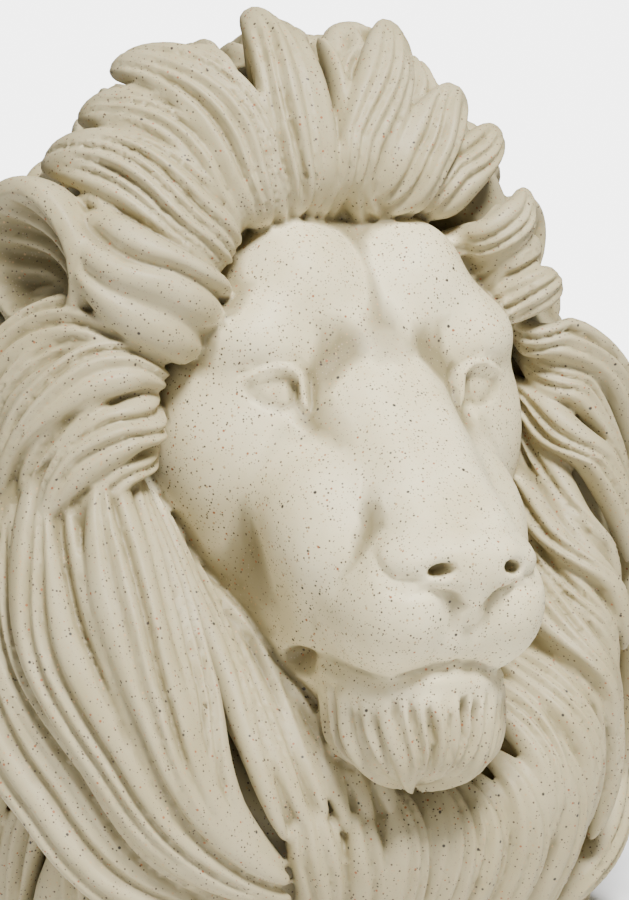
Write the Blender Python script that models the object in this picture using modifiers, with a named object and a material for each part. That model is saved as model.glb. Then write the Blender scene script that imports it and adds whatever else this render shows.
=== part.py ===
"""Lion's head bust with a full mane, cast in one piece in speckled resin and cut flat below."""

import math

import bmesh
import bpy
import numpy as np
from mathutils import Matrix

# Driving dimension, in metres. The whole figure keeps its proportions to its height.
BUST_HEIGHT = 0.184

# The carving is set out in parts of the bust's height, 184 of them from the base to the crest:
# x to the lion's left, f forwards and z up from the line of the eyes.
DESIGN_HEIGHT = 184.0
EYE_LEVEL = 112.0
UNIT = BUST_HEIGHT / DESIGN_HEIGHT

# The cast surface: the grain that the carving is fused at, and the facets it keeps.
FUSE_GRAIN = 1.5 * UNIT
FACET_COUNT = 9800

RESIN_COLOUR = (0.672, 0.631, 0.514, 1.0)
RESIN_ROUGHNESS = 0.45


# Distance fields for the head.
def smooth_min(a, b, blend):
    share = np.clip(0.5 + 0.5 * (b - a) / blend, 0.0, 1.0)
    return b * (1 - share) + a * share - blend * share * (1 - share)


def smooth_max(a, b, blend):
    return -smooth_min(-a, -b, blend)


def mirrored(points):
    """The points folded onto the lion's left side."""
    return np.column_stack([np.abs(points[:, 0]), points[:, 1], points[:, 2]])


def seen_from(points, centre, pitch=0.0, yaw=0.0, roll=0.0):
    """The points as seen from a form at centre that is pitched nose down, yawed outwards and rolled."""
    matrix = (
        Matrix.Rotation(math.radians(yaw), 3, "Z")
        @ Matrix.Rotation(math.radians(-pitch), 3, "X")
        @ Matrix.Rotation(math.radians(roll), 3, "Y")
    )
    return (points - np.array(centre)) @ np.array(matrix)


def ellipsoid(points, centre, radii, **angles):
    local = seen_from(points, centre, **angles)
    radii = np.array(radii)
    reach = np.linalg.norm(local / radii, axis=1)
    slope = np.linalg.norm(local / (radii * radii), axis=1)
    return reach * (reach - 1.0) / np.maximum(slope, 1e-9)


def rounded_box(points, centre, half, edge, **angles):
    local = np.abs(seen_from(points, centre, **angles)) - (np.array(half) - edge)
    outside = np.linalg.norm(np.maximum(local, 0.0), axis=1)
    return outside + np.minimum(local.max(axis=1), 0.0) - edge


def taper(points, start, end, start_radius, end_radius):
    """A round limb whose radius changes evenly from start to end."""
    start = np.array(start, float)
    run = np.array(end, float) - start
    share = np.clip(((points - start) @ run) / (run @ run), 0.0, 1.0)
    radius = start_radius + (end_radius - start_radius) * share
    return np.linalg.norm(points - start - share[:, None] * run, axis=1) - radius


def distance_to_path(points, path):
    """The distance to the nearest place on a line of straight stretches."""
    nearest = np.full(len(points), 1e9)
    for start, end in zip(path, path[1:]):
        run = end - start
        share = np.clip(((points - start) @ run) / (run @ run), 0.0, 1.0)
        nearest = np.minimum(nearest, np.linalg.norm(points - start - share[:, None] * run, axis=1))
    return nearest


def inside_distance(across, up, outline):
    """The distance into a closed outline, less than zero outside it."""
    outline = np.array(outline, float)
    points = np.column_stack([across, up])
    inside = np.zeros(len(points), bool)
    nearest = np.full(len(points), 1e9)
    for start, end in zip(outline, np.roll(outline, -1, axis=0)):
        run = end - start
        share = np.clip(((points - start) @ run) / (run @ run), 0.0, 1.0)
        nearest = np.minimum(nearest, np.linalg.norm(points - start - share[:, None] * run, axis=1))
        spans = (start[1] > up) != (end[1] > up)
        crossing = start[0] + (up - start[1]) * run[0] / (run[1] or 1e-9)
        inside ^= spans & (across < crossing)
    return np.where(inside, nearest, -nearest)


def head_field(points):
    """The distance to the head's plain form."""
    sides = mirrored(points)
    skull = ellipsoid(points, (0, -2, 0), (35, 34, 34))
    cheeks = ellipsoid(sides, (16.5, 13, -10), (23.2, 22, 28))
    head = smooth_min(skull, cheeks, 8)
    forehead = ellipsoid(points, (0, 12, 9), (31, 22, 22), pitch=40)
    head = smooth_min(head, forehead, 8)
    frontals = ellipsoid(sides, (12.5, 22.5, 19), (10.5, 11, 13), pitch=-38)
    head = smooth_min(head, frontals, 5)
    brows = ellipsoid(sides, (21, 25.5, 9.5), (12, 10, 7), pitch=10, yaw=-28)
    head = smooth_min(head, brows, 7)
    temples = ellipsoid(sides, (21, 6, 13), (13, 13, 17))
    head = smooth_min(head, temples, 6)
    muzzle_sides = ellipsoid(sides, (12, 36, -24), (14, 22, 15), pitch=35, yaw=-12)
    head = smooth_min(head, muzzle_sides, 8)
    bridge = rounded_box(points, (0, 40.5, -13.5), (12, 30, 12.5), 8, pitch=44)
    head = smooth_min(head, bridge, 7)
    muzzle = ellipsoid(points, (0, 42, -39), (21, 25, 17))
    head = smooth_min(head, muzzle, 8)
    jaw = taper(sides, (15, 14, -32), (8, 40, -53), 14, 10)
    head = smooth_min(head, jaw, 8)
    nose_top = rounded_box(points, (0, 59.5, -26.2), (12, 9.5, 6), 5, pitch=24)
    head = smooth_min(head, nose_top, 4)
    nose_tip = rounded_box(points, (0, 66.6, -30.4), (10.4, 8.5, 6.2), 5.5, pitch=8)
    head = smooth_min(head, nose_tip, 3)
    nose_wings = ellipsoid(sides, (10.8, 63.5, -31), (5.2, 8.5, 4.6))
    head = smooth_min(head, nose_wings, 3)
    nose_keel = taper(points, (0, 70, -32), (0, 69.8, -39.5), 5.2, 3.0)
    head = smooth_min(head, nose_keel, 3)
    muzzle_front = ellipsoid(points, (0, 57, -44), (9, 12.6, 9))
    head = smooth_min(head, muzzle_front, 3)
    whisker_pads = ellipsoid(sides, (9.4, 56, -40.3), (11.2, 16, 13), yaw=-3, pitch=-10)
    head = smooth_min(head, whisker_pads, 2.2)
    lower_lip = ellipsoid(points, (0, 48.3, -54), (17.2, 17.0, 8.5))
    head = smooth_min(head, lower_lip, 3)
    throat = ellipsoid(points, (0, 16, -60), (28, 18, 24))
    return smooth_min(head, throat, 6)


# The eye sits on a plane turned outwards. Its opening runs outwards and up from the eye's centre.
EYE_CENTRE = (22.7, 33.8, -0.3)
EYE_TURN = 25.0
EYE_OPENING = (
    (5.4, 0.2),
    (2.4, 1.6),
    (-1.0, 2.6),
    (-3.4, 2.5),
    (-4.7, 1.2),
    (-5.0, -3.4),
    (-2.8, -4.4),
    (1.0, -4.2),
    (4.0, -2.4),
)
LID_DEPTH = 2.6
LID_RISE = 0.75
FOLD_DEPTH = 0.9


def eye_relief(sides):
    """How far the blank eye, its lids and the fold over them stand above the socket."""
    turned = math.radians(EYE_TURN)
    local = sides - np.array(EYE_CENTRE)
    across = local[:, 0] * math.cos(turned) - local[:, 1] * math.sin(turned)
    up = local[:, 2]
    relief = np.zeros(len(sides))
    widest = np.abs(np.array(EYE_OPENING)).max()
    near = (np.hypot(across, up) < 3 * widest) & (sides[:, 1] > 20)
    if not near.any():
        return relief
    across = across[near]
    up = up[near]
    depth_in = inside_distance(across, up, EYE_OPENING)
    upper = np.clip((up - 0.55 * across + 3.0) / 5, 0, 1)
    ball = -LID_DEPTH * np.clip(depth_in / 0.3, 0, 1) * (0.25 + 0.75 * upper) * np.exp(-((depth_in / 1.1) ** 2))
    lid = LID_RISE * (0.12 + 0.88 * upper) * np.exp(-(((depth_in + 0.9) / 0.8) ** 2))
    fold = -FOLD_DEPTH * upper * np.exp(-(((depth_in + 2.6) / 0.7) ** 2))
    relief[near] = np.where(depth_in > 0, ball, lid + fold)
    return relief


# Lines on each side of the face: how deep they are cut, half their width and their path.
FACE_LINES = {
    "tear_duct": (2.2, 0.65, [(18.2, 35.3, -3.6), (17.3, 36.2, -5.8), (15.7, 38.0, -8.4)]),
    "tear_flap": (-0.35, 0.8, [(20.0, 34.5, -6.2), (18.6, 36.0, -8.5), (17.0, 37.8, -10.2)]),
    "wing_crease": (1.3, 0.7, [(15.2, 60, -28.8), (15.4, 62.5, -31.2), (14.2, 66, -33.4), (11.5, 70, -33.9)]),
    "wing_fold": (1.1, 0.7, [(14.8, 64, -34.4), (12, 68.5, -35.6), (8.6, 72, -36.2), (5, 74, -37.4), (1.8, 74, -41)]),
    "wing_back": (0.5, 2.6, [(13.5, 57, -23.5), (15, 56, -27), (15.6, 57, -30.4)]),
    "wing_top": (0.6, 2.0, [(12.5, 64, -27.4), (8.9, 67.5, -25.8), (4.5, 70, -25.8)]),
    "philtrum": (3.6, 0.9, [(0, 73, -42.5), (0, 71, -46), (0, 67, -51.5)]),
    "mouth": (3.4, 1.0, [(0, 64, -49.5), (4.2, 64, -51), (11.4, 60, -53), (17, 54, -53.3), (20.4, 43, -52)]),
    "pad_edge": (0.8, 2.6, [(18.5, 57, -33), (21.5, 51, -37), (22, 47, -43)]),
    "brow_hollow": (2.2, 5.5, [(11, 37, 5.5), (14.5, 35, 8.5)]),
    "frontal_furrow": (1.1, 3.2, [(0, 35, 14), (0, 30, 20), (0, 24, 27)]),
}
NOSTRIL_CENTRE = (7.4, 74.2, -32.2)
NOSTRIL_RADII = (2.5, 6.0, 1.5)
POCKET_CENTRE = (18.8, 38.5, -51.8)
POCKET_RADII = (4.0, 4.8, 2.7)
HEAD_CENTRE = np.array((0.0, 20.0, -20.0))
HEAD_REACH = 90.0


def carved_field(points, lines):
    """The distance to the head with its nostrils, eyes, pockets at the mouth's corners and lines."""
    sides = mirrored(points)
    nostrils = ellipsoid(sides, NOSTRIL_CENTRE, NOSTRIL_RADII, roll=12)
    pockets = ellipsoid(sides, POCKET_CENTRE, POCKET_RADII)
    head = smooth_max(head_field(points), -nostrils, 1.0) - eye_relief(sides)
    head = smooth_max(head, -pockets, 2.0)
    for depth, half_width, path in lines:
        head += depth * np.exp(-((distance_to_path(sides, path) / half_width) ** 2))
    return head


def drawn_in(rays, field, reach, rounds, pace):
    """How far along each ray from the head's centre a field's surface lies."""
    for _ in range(rounds):
        reach = reach - pace * field(HEAD_CENTRE + rays * reach[:, None])
    return reach


def along_rays(points):
    rays = points / np.linalg.norm(points, axis=1)[:, None]
    return rays, np.full(len(rays), HEAD_REACH)


# Meshes whose corners are moved by a rule.
def sphere_mesh(name, copies=1, **shape):
    """A unit sphere, or as many of them as there are copies, and the corners of the first."""
    bm = bmesh.new()
    if "subdivisions" in shape:
        bmesh.ops.create_icosphere(bm, radius=1.0, **shape)
    else:
        bmesh.ops.create_uvsphere(bm, radius=1.0, **shape)
    mesh = bpy.data.meshes.new(name)
    bm.to_mesh(mesh)
    corners = np.empty(len(mesh.vertices) * 3)
    mesh.vertices.foreach_get("co", corners)
    for _ in range(copies - 1):
        bm.from_mesh(mesh)
    bm.to_mesh(mesh)
    bm.free()
    return mesh, corners.reshape(-1, 3)


def head_ball(detail):
    """A sphere drawn in onto the head along rays from inside the skull."""
    mesh, corners = sphere_mesh("head", subdivisions=detail)
    lines = []
    for depth, half_width, path in FACE_LINES.values():
        rays, reach = along_rays(np.array(path, float) - HEAD_CENTRE)
        reach = drawn_in(rays, head_field, reach, 50, 0.85)
        lines.append((depth, half_width, HEAD_CENTRE + rays * reach[:, None]))
    rays, reach = along_rays(corners * np.array((1, -1, 1)))
    reach = drawn_in(rays, head_field, reach, 40, 0.85)
    reach = drawn_in(rays, lambda points: carved_field(points, lines), reach, 10, 0.7)
    return mesh, HEAD_CENTRE + rays * reach[:, None]


def curve_weights(knots, places):
    """Weights of a smooth curve through values at the knots, one row for each place."""
    knots = np.array(knots, float)
    places = np.clip(places, knots[0], knots[-1])
    count = len(knots)
    slopes = np.zeros((count, count))
    for i in range(count):
        before = max(i - 1, 0)
        after = min(i + 1, count - 1)
        slopes[i, after] += 1.0 / (knots[after] - knots[before])
        slopes[i, before] -= 1.0 / (knots[after] - knots[before])
    k = np.clip(np.searchsorted(knots, places, side="right") - 1, 0, count - 2)
    span = knots[k + 1] - knots[k]
    t = (places - knots[k]) / span
    rows = np.arange(len(places))
    weights = np.zeros((len(places), count))
    weights[rows, k] += 2 * t**3 - 3 * t**2 + 1
    weights[rows, k + 1] += -2 * t**3 + 3 * t**2
    weights += ((t**3 - 2 * t**2 + t) * span)[:, None] * slopes[k]
    weights += ((t**3 - t**2) * span)[:, None] * slopes[k + 1]
    return weights


def smooth_through(knots, values, places):
    return curve_weights(knots, places) @ np.array(values, float)


# The mane's shell is a thick collar round the face, closed behind. Its outlines are radii about a point
# on the face's axis, by the angle from straight up, and the same on both sides.
MANE_AXIS_Z = -15.0
MANE_ANGLES = (0, 30, 45, 60, 75, 90, 110, 134, 148, 162, 180)
MANE_OUTER = (80, 75, 67, 62, 68, 71, 78, 95, 111, 114, 112)
MANE_INNER = (43, 43, 41.5, 40, 38, 36.5, 36.5, 40, 42, 44, 45)
MANE_INNER_F = (14, 13, 11, 8, 6, 6, 8, 14, 20, 25, 28)
MANE_CREST_F = (20, 20, 20, 20, 21, 22, 26, 34, 38, 41, 43)
# Stations run from inside the face over its edge, the crest, the widest outline and the back to its middle.
MANE_STATIONS = (-0.25, 0.0, 0.2, 0.5, 0.78, 1.0)
CREST_SHARE = 0.42
BACK_SHARE = 0.85
WIDEST_F = 1.0
BACK_EDGE_F = -38.0
BACK_MIDDLE_F = -52.0


def mane_shell(phi, station):
    """Points of the shell at an angle in degrees, 90 to the lion's left, and a station from 0 to 1."""
    phi = np.asarray(phi, float)
    around = curve_weights(MANE_ANGLES, np.abs((phi + 180.0) % 360.0 - 180.0))
    outer = around @ np.array(MANE_OUTER, float)
    inner = around @ np.array(MANE_INNER, float)
    inner_f = around @ np.array(MANE_INNER_F, float)
    crest_f = around @ np.array(MANE_CREST_F, float)
    level = np.ones(len(outer))
    crest = inner + CREST_SHARE * (outer - inner)
    radii = np.column_stack([0 * level, inner, crest, outer, BACK_SHARE * outer, 0 * level])
    depths = (inner_f, inner_f, crest_f, WIDEST_F * level, BACK_EDGE_F * level, BACK_MIDDLE_F * level)
    along = curve_weights(MANE_STATIONS, np.asarray(station, float))
    radius = (along * radii).sum(axis=1)
    forward = (along * np.column_stack(depths)).sum(axis=1)
    angle = np.radians(phi)
    return np.column_stack([radius * np.sin(angle), forward, MANE_AXIS_Z + radius * np.cos(angle)])


def back_shell(x, z):
    """Points of the shell's back half above the place (x, z) seen from behind."""
    x = np.asarray(x, float)
    z = np.asarray(z, float) - MANE_AXIS_Z
    phi = np.degrees(np.arctan2(x, z))
    outer = smooth_through(MANE_ANGLES, MANE_OUTER, np.abs(phi))
    stations = np.linspace(0.5, 1.0, 60)
    shares = smooth_through(MANE_STATIONS, (0, 0, 0, 1, BACK_SHARE, 0), stations)
    return mane_shell(phi, np.interp(-np.hypot(x, z) / outer, -shares, stations))


def surface_normal(surface, u, v):
    """Outward normals of a surface given by a function of two numbers."""
    if surface is back_shell:
        along_u = surface(u, v + 0.5) - surface(u, v - 0.5)
        along_v = surface(u + 0.5, v) - surface(u - 0.5, v)
    else:
        along_u = surface(u + 0.5, v) - surface(u - 0.5, v)
        along_v = surface(u, v + 0.004) - surface(u, v - 0.004)
    normal = np.cross(along_v, along_u)
    return normal / np.maximum(np.linalg.norm(normal, axis=1), 1e-9)[:, None]


def mane_ball(rings, inset):
    """A sphere drawn onto the shell, sunk by inset so that the locks stand on it."""
    mesh, corners = sphere_mesh("mane", u_segments=rings * 2, v_segments=rings)
    phi = np.degrees(np.arctan2(corners[:, 0], corners[:, 1]))
    station = MANE_STATIONS[0] + (1 - MANE_STATIONS[0]) * np.arccos(np.clip(corners[:, 2], -1, 1)) / math.pi
    normal = surface_normal(mane_shell, phi, np.clip(station, 0.02, 0.97))
    return mesh, mane_shell(phi, station) - normal * inset


# Locks that frame the face, in fans. A fan gives its number of locks, a lock's half width and height, its
# lift off the shell at root, middle and tip, its strands, the share of its width at root and tip, and the
# spines that the fan runs between, as angles and stations on the shell from root to tip.
FANS = {
    "crest_peak": (1, 5.0, 5.0, (-3, 5, 8), 4, (0.6, 0.9), [[(-19, -0.02), (-15, 0.16), (-11, 0.33), (-9, 0.49)]]),
    "crest_ridge": (2, 2.3, 4.5, (-3, 4, 6), 1, (0.7, 0.7), [
        [(-11, 0.0), (-8, 0.16), (-6, 0.32), (-6, 0.46)],
        [(-6, 0.0), (-3.5, 0.16), (-1.5, 0.3), (-1, 0.43)],
    ]),
    "crest_behind": (4, 6.0, 5.0, (0, 2, 3), 4, (0.8, 0.9), [
        [(-22, 0.3), (-20, 0.38), (-19, 0.45), (-19, 0.52)],
        [(14, 0.28), (14, 0.34), (15, 0.4), (15, 0.47)],
    ]),
    "crest_middle": (1, 6.2, 5.2, (-3, 4, 8), 5, (0.6, 0.9), [[(-4, -0.02), (0, 0.15), (5, 0.31), (9, 0.45)]]),
    "crest_right": (2, 5.8, 5.0, (-3, 4, 6), 4, (0.6, 0.85), [
        [(5, -0.02), (9, 0.12), (14, 0.25), (19, 0.37)],
        [(15, -0.02), (19, 0.12), (24, 0.25), (28, 0.36)],
    ]),
    "crest_left": (3, 7.0, 5.4, (-3, 5, 8), 6, (0.6, 0.95), [
        [(-19, -0.02), (-21, 0.18), (-22, 0.37), (-27, 0.53)],
        [(-31, -0.03), (-35, 0.16), (-37, 0.35), (-40, 0.54)],
    ]),
    "hairline": (6, 4.0, 3.4, (-3.5, 2.5, 1), 3, (0.4, 0.7), [
        [(-17, -0.05), (-19, 0.04), (-18, 0.14), (-15, 0.25)],
        [(3, -0.05), (-3, 0.04), (-5, 0.14), (-3, 0.23)],
        [(26, -0.05), (16, 0.04), (10, 0.12), (8, 0.2)],
    ]),
    "temple_strands": (6, 3.6, 3.2, (-3, 3, 2), 3, (0.5, 0.7), [
        [(20, -0.04), (28, 0.04), (33, 0.12), (33, 0.22)],
        [(50, -0.03), (54, 0.04), (54, 0.12), (50, 0.21)],
    ]),
    "temple_curls": (3, 4.4, 3.8, (-1, 4, 4), 4, (0.7, 0.8), [
        [(27, 0.06), (32, 0.12), (36, 0.2), (36, 0.3)],
        [(44, 0.06), (48, 0.12), (50, 0.18), (50, 0.25)],
    ]),
    "ear_front": (4, 3.2, 4.0, (-2.5, 4, 8), 2, (0.6, 0.8), [
        [(-33, -0.02), (-36, 0.13), (-39, 0.28), (-42, 0.43)],
        [(-42, 0.0), (-44, 0.12), (-45, 0.26), (-44, 0.42)],
    ]),
    "ear_lobe": (1, 9.0, 5.5, (-3, 7, 9), 3, (0.45, 0.9), [[(-53, 0.05), (-53, 0.14), (-52, 0.26), (-47, 0.4)]]),
    "ear_hair": (6, 3.0, 3.2, (-1, 2, 1), 2, (0.6, 0.5), [
        [(-66, 0.2), (-66, 0.3), (-66, 0.42), (-68, 0.54)],
        [(-53, 0.26), (-55, 0.35), (-58, 0.44), (-61, 0.54)],
    ]),
    "ear_root": (6, 5.4, 4.6, (-3, 4, -3), 3, (0.5, 0.4), [
        [(-57, 0.06), (-60, 0.2), (-64, 0.34), (-74, 0.45), (-88, 0.5)],
        [(-62, 0.04), (-68, 0.16), (-77, 0.27), (-88, 0.36), (-100, 0.4)],
        [(-70, 0.03), (-79, 0.1), (-88, 0.17), (-98, 0.25), (-108, 0.31)],
    ]),
    "great_fall": (6, 6.2, 5.0, (-2, 5, 4), 3, (0.6, 0.55), [
        [(-84, 0.45), (-103, 0.45), (-121, 0.42), (-137, 0.36), (-152, 0.31), (-166, 0.28)],
        [(-79, 0.29), (-96, 0.31), (-114, 0.3), (-130, 0.27), (-148, 0.25), (-165, 0.25)],
        [(-74, 0.1), (-92, 0.14), (-110, 0.15), (-126, 0.16), (-144, 0.18), (-163, 0.23)],
    ]),
    "inner_fall": (5, 4.4, 4.0, (-2.5, 4, 3), 3, (0.5, 0.6), [
        [(-84, 0.03), (-102, 0.06), (-120, 0.08), (-140, 0.1), (-161, 0.2)],
        [(-112, -0.02), (-126, 0.0), (-140, 0.01), (-153, 0.06), (-166, 0.17)],
    ]),
    "jaw_fall_left": (5, 3.6, 3.8, (-3, 4, 2), 3, (0.5, 0.7), [
        [(-128, -0.04), (-140, -0.02), (-152, 0.02), (-162, 0.08), (-170, 0.18)],
        [(-150, -0.06), (-159, -0.03), (-167, 0.02), (-173, 0.08), (-178, 0.17)],
    ]),
    "lower_left": (6, 5.0, 4.6, (-2, 2, 1), 3, (0.6, 0.7), [
        [(-122, 0.4), (-129, 0.44), (-136, 0.49), (-142, 0.55)],
        [(-140, 0.33), (-147, 0.37), (-152, 0.43), (-156, 0.51)],
        [(-160, 0.28), (-164, 0.33), (-167, 0.4), (-170, 0.48)],
    ]),
    "under_beard_left": (3, 4.4, 4.0, (-2.5, 2, 1), 3, (0.6, 0.7), [
        [(-156, 0.12), (-163, 0.18), (-169, 0.26), (-170, 0.38)],
        [(-171, 0.1), (-173, 0.17), (-176, 0.26), (-177, 0.38)],
    ]),
    "under_beard_middle": (3, 4.4, 4.2, (-2.5, 3, 2), 3, (0.6, 0.8), [
        [(-178, 0.08), (-179, 0.17), (-180, 0.28), (-182, 0.42)],
        [(-188, 0.08), (-187, 0.17), (-186, 0.28), (-185, 0.42)],
    ]),
    "under_beard_right": (6, 4.2, 4.0, (-2.5, 3, 2), 3, (0.6, 0.7), [
        [(172, 0.08), (168, 0.16), (169, 0.24), (174, 0.34), (176, 0.44)],
        [(146, 0.08), (144, 0.15), (147, 0.22), (154, 0.31), (160, 0.42)],
    ]),
    "jaw_curves_right": (6, 4.2, 4.2, (-3.5, 2, 2), 3, (0.6, 0.6), [
        [(158, -0.03), (153, 0.05), (151, 0.12), (154, 0.19), (160, 0.27)],
        [(128, 0.02), (126, 0.11), (128, 0.19), (135, 0.27), (145, 0.34)],
    ]),
    "cheek_arcs_right": (7, 4.4, 4.4, (-3, 3, 3), 3, (0.6, 0.6), [
        [(54, 0.03), (59, 0.14), (68, 0.24), (80, 0.31), (95, 0.35)],
        [(74, 0.0), (84, 0.07), (95, 0.13), (108, 0.18), (121, 0.25)],
        [(110, -0.02), (120, 0.04), (127, 0.11), (133, 0.18), (140, 0.26)],
    ]),
    "outer_right": (3, 5.6, 4.8, (-2, 2, 0), 4, (0.7, 0.6), [
        [(84, 0.36), (98, 0.35), (112, 0.34), (126, 0.36), (140, 0.42)],
        [(80, 0.5), (96, 0.5), (112, 0.49), (128, 0.5), (142, 0.54)],
    ]),
    "crossing_right": (1, 4.6, 4.6, (-1, 2, 2), 4, (0.6, 0.6), [
        [(128, 0.48), (137, 0.42), (147, 0.37), (156, 0.36)],
    ]),
    "lower_right": (5, 5.0, 4.6, (-2, 2, 1), 3, (0.7, 0.7), [
        [(130, 0.5), (138, 0.52), (146, 0.55), (152, 0.6)],
        [(154, 0.36), (160, 0.42), (165, 0.48), (170, 0.55)],
    ]),
    "outer_left": (3, 5.8, 4.8, (-1, 1, 0), 4, (0.7, 0.6), [
        [(-86, 0.42), (-98, 0.44), (-110, 0.46), (-122, 0.49), (-132, 0.54)],
        [(-74, 0.55), (-90, 0.57), (-106, 0.58), (-122, 0.6), (-136, 0.64)],
    ]),
}

# Plainer locks that follow a rule: side rows, the crown and the back.
OVERLAP_STEP = 1.1
SIDE_STATIONS = (0.6, 0.7)
SIDE_LOCK = (7.0, 5.0, (-1.0, 1.0, 0.0), 4, (0.7, 0.6))
CROWN_COUNT = 14
CROWN_LOCK = (8.5, 4.5, (-3.0, -0.5, -0.5), 4, (0.8, 0.6))
BACK_ROWS = 8
BACK_LOCK = (9.5, 5.0, (-2.0, 0.8, 0.0), 3, (0.8, 0.5))


def fan_spines(count, guides):
    """The spines of a fan, spread evenly from its first guide to its last."""
    guides = np.array(guides, float)
    spines = []
    for place in np.linspace(0, len(guides) - 1, count):
        low = min(int(place), max(len(guides) - 2, 0))
        high = min(low + 1, len(guides) - 1)
        spines.append(guides[low] + (guides[high] - guides[low]) * (place - low))
    return spines


def within_back(x, z):
    """A place on the back, drawn in from the outline."""
    z -= MANE_AXIS_Z
    outer = smooth_through(MANE_ANGLES, MANE_OUTER, np.array([abs(math.degrees(math.atan2(x, z)))]))[0]
    share = min(1.0, 0.9 * outer / max(math.hypot(x, z), 1e-6))
    return x * share, z * share + MANE_AXIS_Z


def side_locks():
    locks = []
    for side in (-1, 1):
        for row, station in enumerate(SIDE_STATIONS):
            for start in (38, 68, 98):
                first = start + 14 * row
                spine = [(side * (first + 14 * k), station + 0.012 * k) for k in range(4)]
                locks.append((mane_shell, spine, *SIDE_LOCK))
    return locks


def crown_locks():
    locks = []
    for k, phi in enumerate(np.linspace(-72, 72, CROWN_COUNT)):
        spine = [(phi + 3 * math.sin(k + j), 0.44 + 0.1 * j) for j in range(4)]
        locks.append((mane_shell, spine, *CROWN_LOCK))
    return locks


def back_locks():
    """Rows that hang down the back, each over the row below."""
    locks = []
    for row in range(BACK_ROWS):
        top = -88 + 21 * row
        columns = 6 + row % 2
        reach = (58 if row < 5 else 44) * columns / 7
        for x in np.linspace(-reach, reach, columns):
            sway = 4 * math.sin(row * 1.7 + x * 0.09)
            spine = []
            for k in range(4):
                spine.append(within_back(x * (1 + 0.02 * k) + sway * math.sin(k * 1.2), top - 14 * k))
            locks.append((back_shell, spine, *BACK_LOCK))
    return locks


def all_locks():
    """Every lock of the mane. Neighbours in a fan stand high and low in turn."""
    locks = []
    for count, half_width, height, lift, strands, ends, guides in FANS.values():
        for k, spine in enumerate(fan_spines(count, guides)):
            step = OVERLAP_STEP * (-1) ** k
            lifts = tuple(share + step for share in lift)
            locks.append((mane_shell, spine, half_width * (1 + 0.08 * step), height, lifts, strands, ends))
    return locks + side_locks() + crown_locks() + back_locks()


def ring_places(ball):
    """How far along a ball's axis its rings are, and each corner's ring."""
    t = np.arccos(np.clip(ball[:, 2], -1, 1)) / math.pi
    return np.unique(np.round(t, 5), return_inverse=True)


def strand_cuts(strands, dice):
    """Where the grooves between a lock's strands lie from side to side, half their width and their depth."""
    widths = dice.uniform(0.7, 1.4, strands)
    middles = -1 + 2 * np.cumsum(widths)[:-1] / widths.sum()
    return [(middle, 0.26 * 2 / strands, dice.uniform(0.6, 1.25)) for middle in middles]


def lock_points(ball, surface, spine, half_width, height, lift, strands, ends, dice):
    """A unit sphere drawn out into one lock along its spine on a surface, with grooves between its strands."""
    t, ring = ring_places(ball)
    knots = np.linspace(0, 1, len(spine))
    spine = np.array(spine, float)
    place = curve_weights(knots, t) @ spine
    ahead = curve_weights(knots, np.clip(t + 0.01, 0, 1)) @ spine
    behind = curve_weights(knots, np.clip(t - 0.01, 0, 1)) @ spine
    normal = surface_normal(surface, place[:, 0], place[:, 1])
    tangent = surface(ahead[:, 0], ahead[:, 1]) - surface(behind[:, 0], behind[:, 1])
    tangent -= (tangent * normal).sum(axis=1)[:, None] * normal
    tangent /= np.maximum(np.linalg.norm(tangent, axis=1), 1e-9)[:, None]
    across = np.cross(normal, tangent)
    root, middle, tip = lift
    raised = root * (1 - t) * (1 - 2 * t) + 4 * middle * t * (1 - t) + tip * t * (2 * t - 1)
    centre = surface(place[:, 0], place[:, 1]) + normal * raised[:, None]
    cap = np.where(t < 0.5, np.sin(math.pi * t) ** 0.85, (1 - np.abs(2 * t - 1) ** 3.2) ** 0.5)
    belly = smooth_through((0, 0.4, 1), (ends[0], 1.0, ends[1]), t)
    sway = 0.3 * dice.uniform(-1, 1) * (2 * t - 1) + 0.24 * np.sin(math.tau * (1.3 * t + dice.uniform(0, 1)))
    lean = dice.uniform(-0.22, 0.22) * half_width

    # Three quarters of a ring's corners lie on the upper side, which shows.
    around = np.arctan2(-ball[:, 0], ball[:, 1])
    upper = np.abs(around) < 0.75 * math.pi
    around = np.where(upper, around / 1.5, np.sign(around) * (2 * np.abs(around) - math.pi))
    side = -np.sin(around)
    upward = np.cos(around)
    grooves = np.zeros(len(side))
    for groove, width, depth in strand_cuts(strands, dice):
        start = dice.uniform(-0.1, 0.1)
        stop = dice.uniform(0.85, 1.1)
        fade = np.clip((t - start) / 0.15, 0, 1) * np.clip((stop - t) / 0.15, 0, 1)
        grooves += depth * fade[ring] * np.exp(-(((side - groove) / width) ** 2))
    rise = height * np.where(upward > 0, np.abs(upward) ** 0.75, 0.8 * upward)
    rise -= np.where(upward > 0, grooves * min(2.5, 0.5 * height), 0)
    rise = (rise + lean * side) * cap[ring]
    spread = half_width * (belly * cap)[ring] * (side + (1 - side**2) * sway[ring])
    return centre[ring] + across[ring] * spread[:, None] + normal[ring] * rise[:, None]


def lock_balls(around, along):
    locks = all_locks()
    mesh, ball = sphere_mesh("locks", len(locks), u_segments=around, v_segments=along)
    dice = np.random.default_rng(7)
    return mesh, np.vstack([lock_points(ball, *lock, dice) for lock in locks])


# The beard hangs from the lower lip: shares of the way down, its radii there and its strands.
BEARD_TOP = -54.5
BEARD_DROP = 20.3
BEARD_CENTRE_F = 47.0
BEARD_DOWN = (-0.5, 0.0, 0.3, 0.6, 0.85, 1.0, 1.08)
BEARD_RADII = (4, 16.8, 18.0, 17.4, 15.0, 11.0, 2)
BEARD_STRANDS = 24


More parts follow.
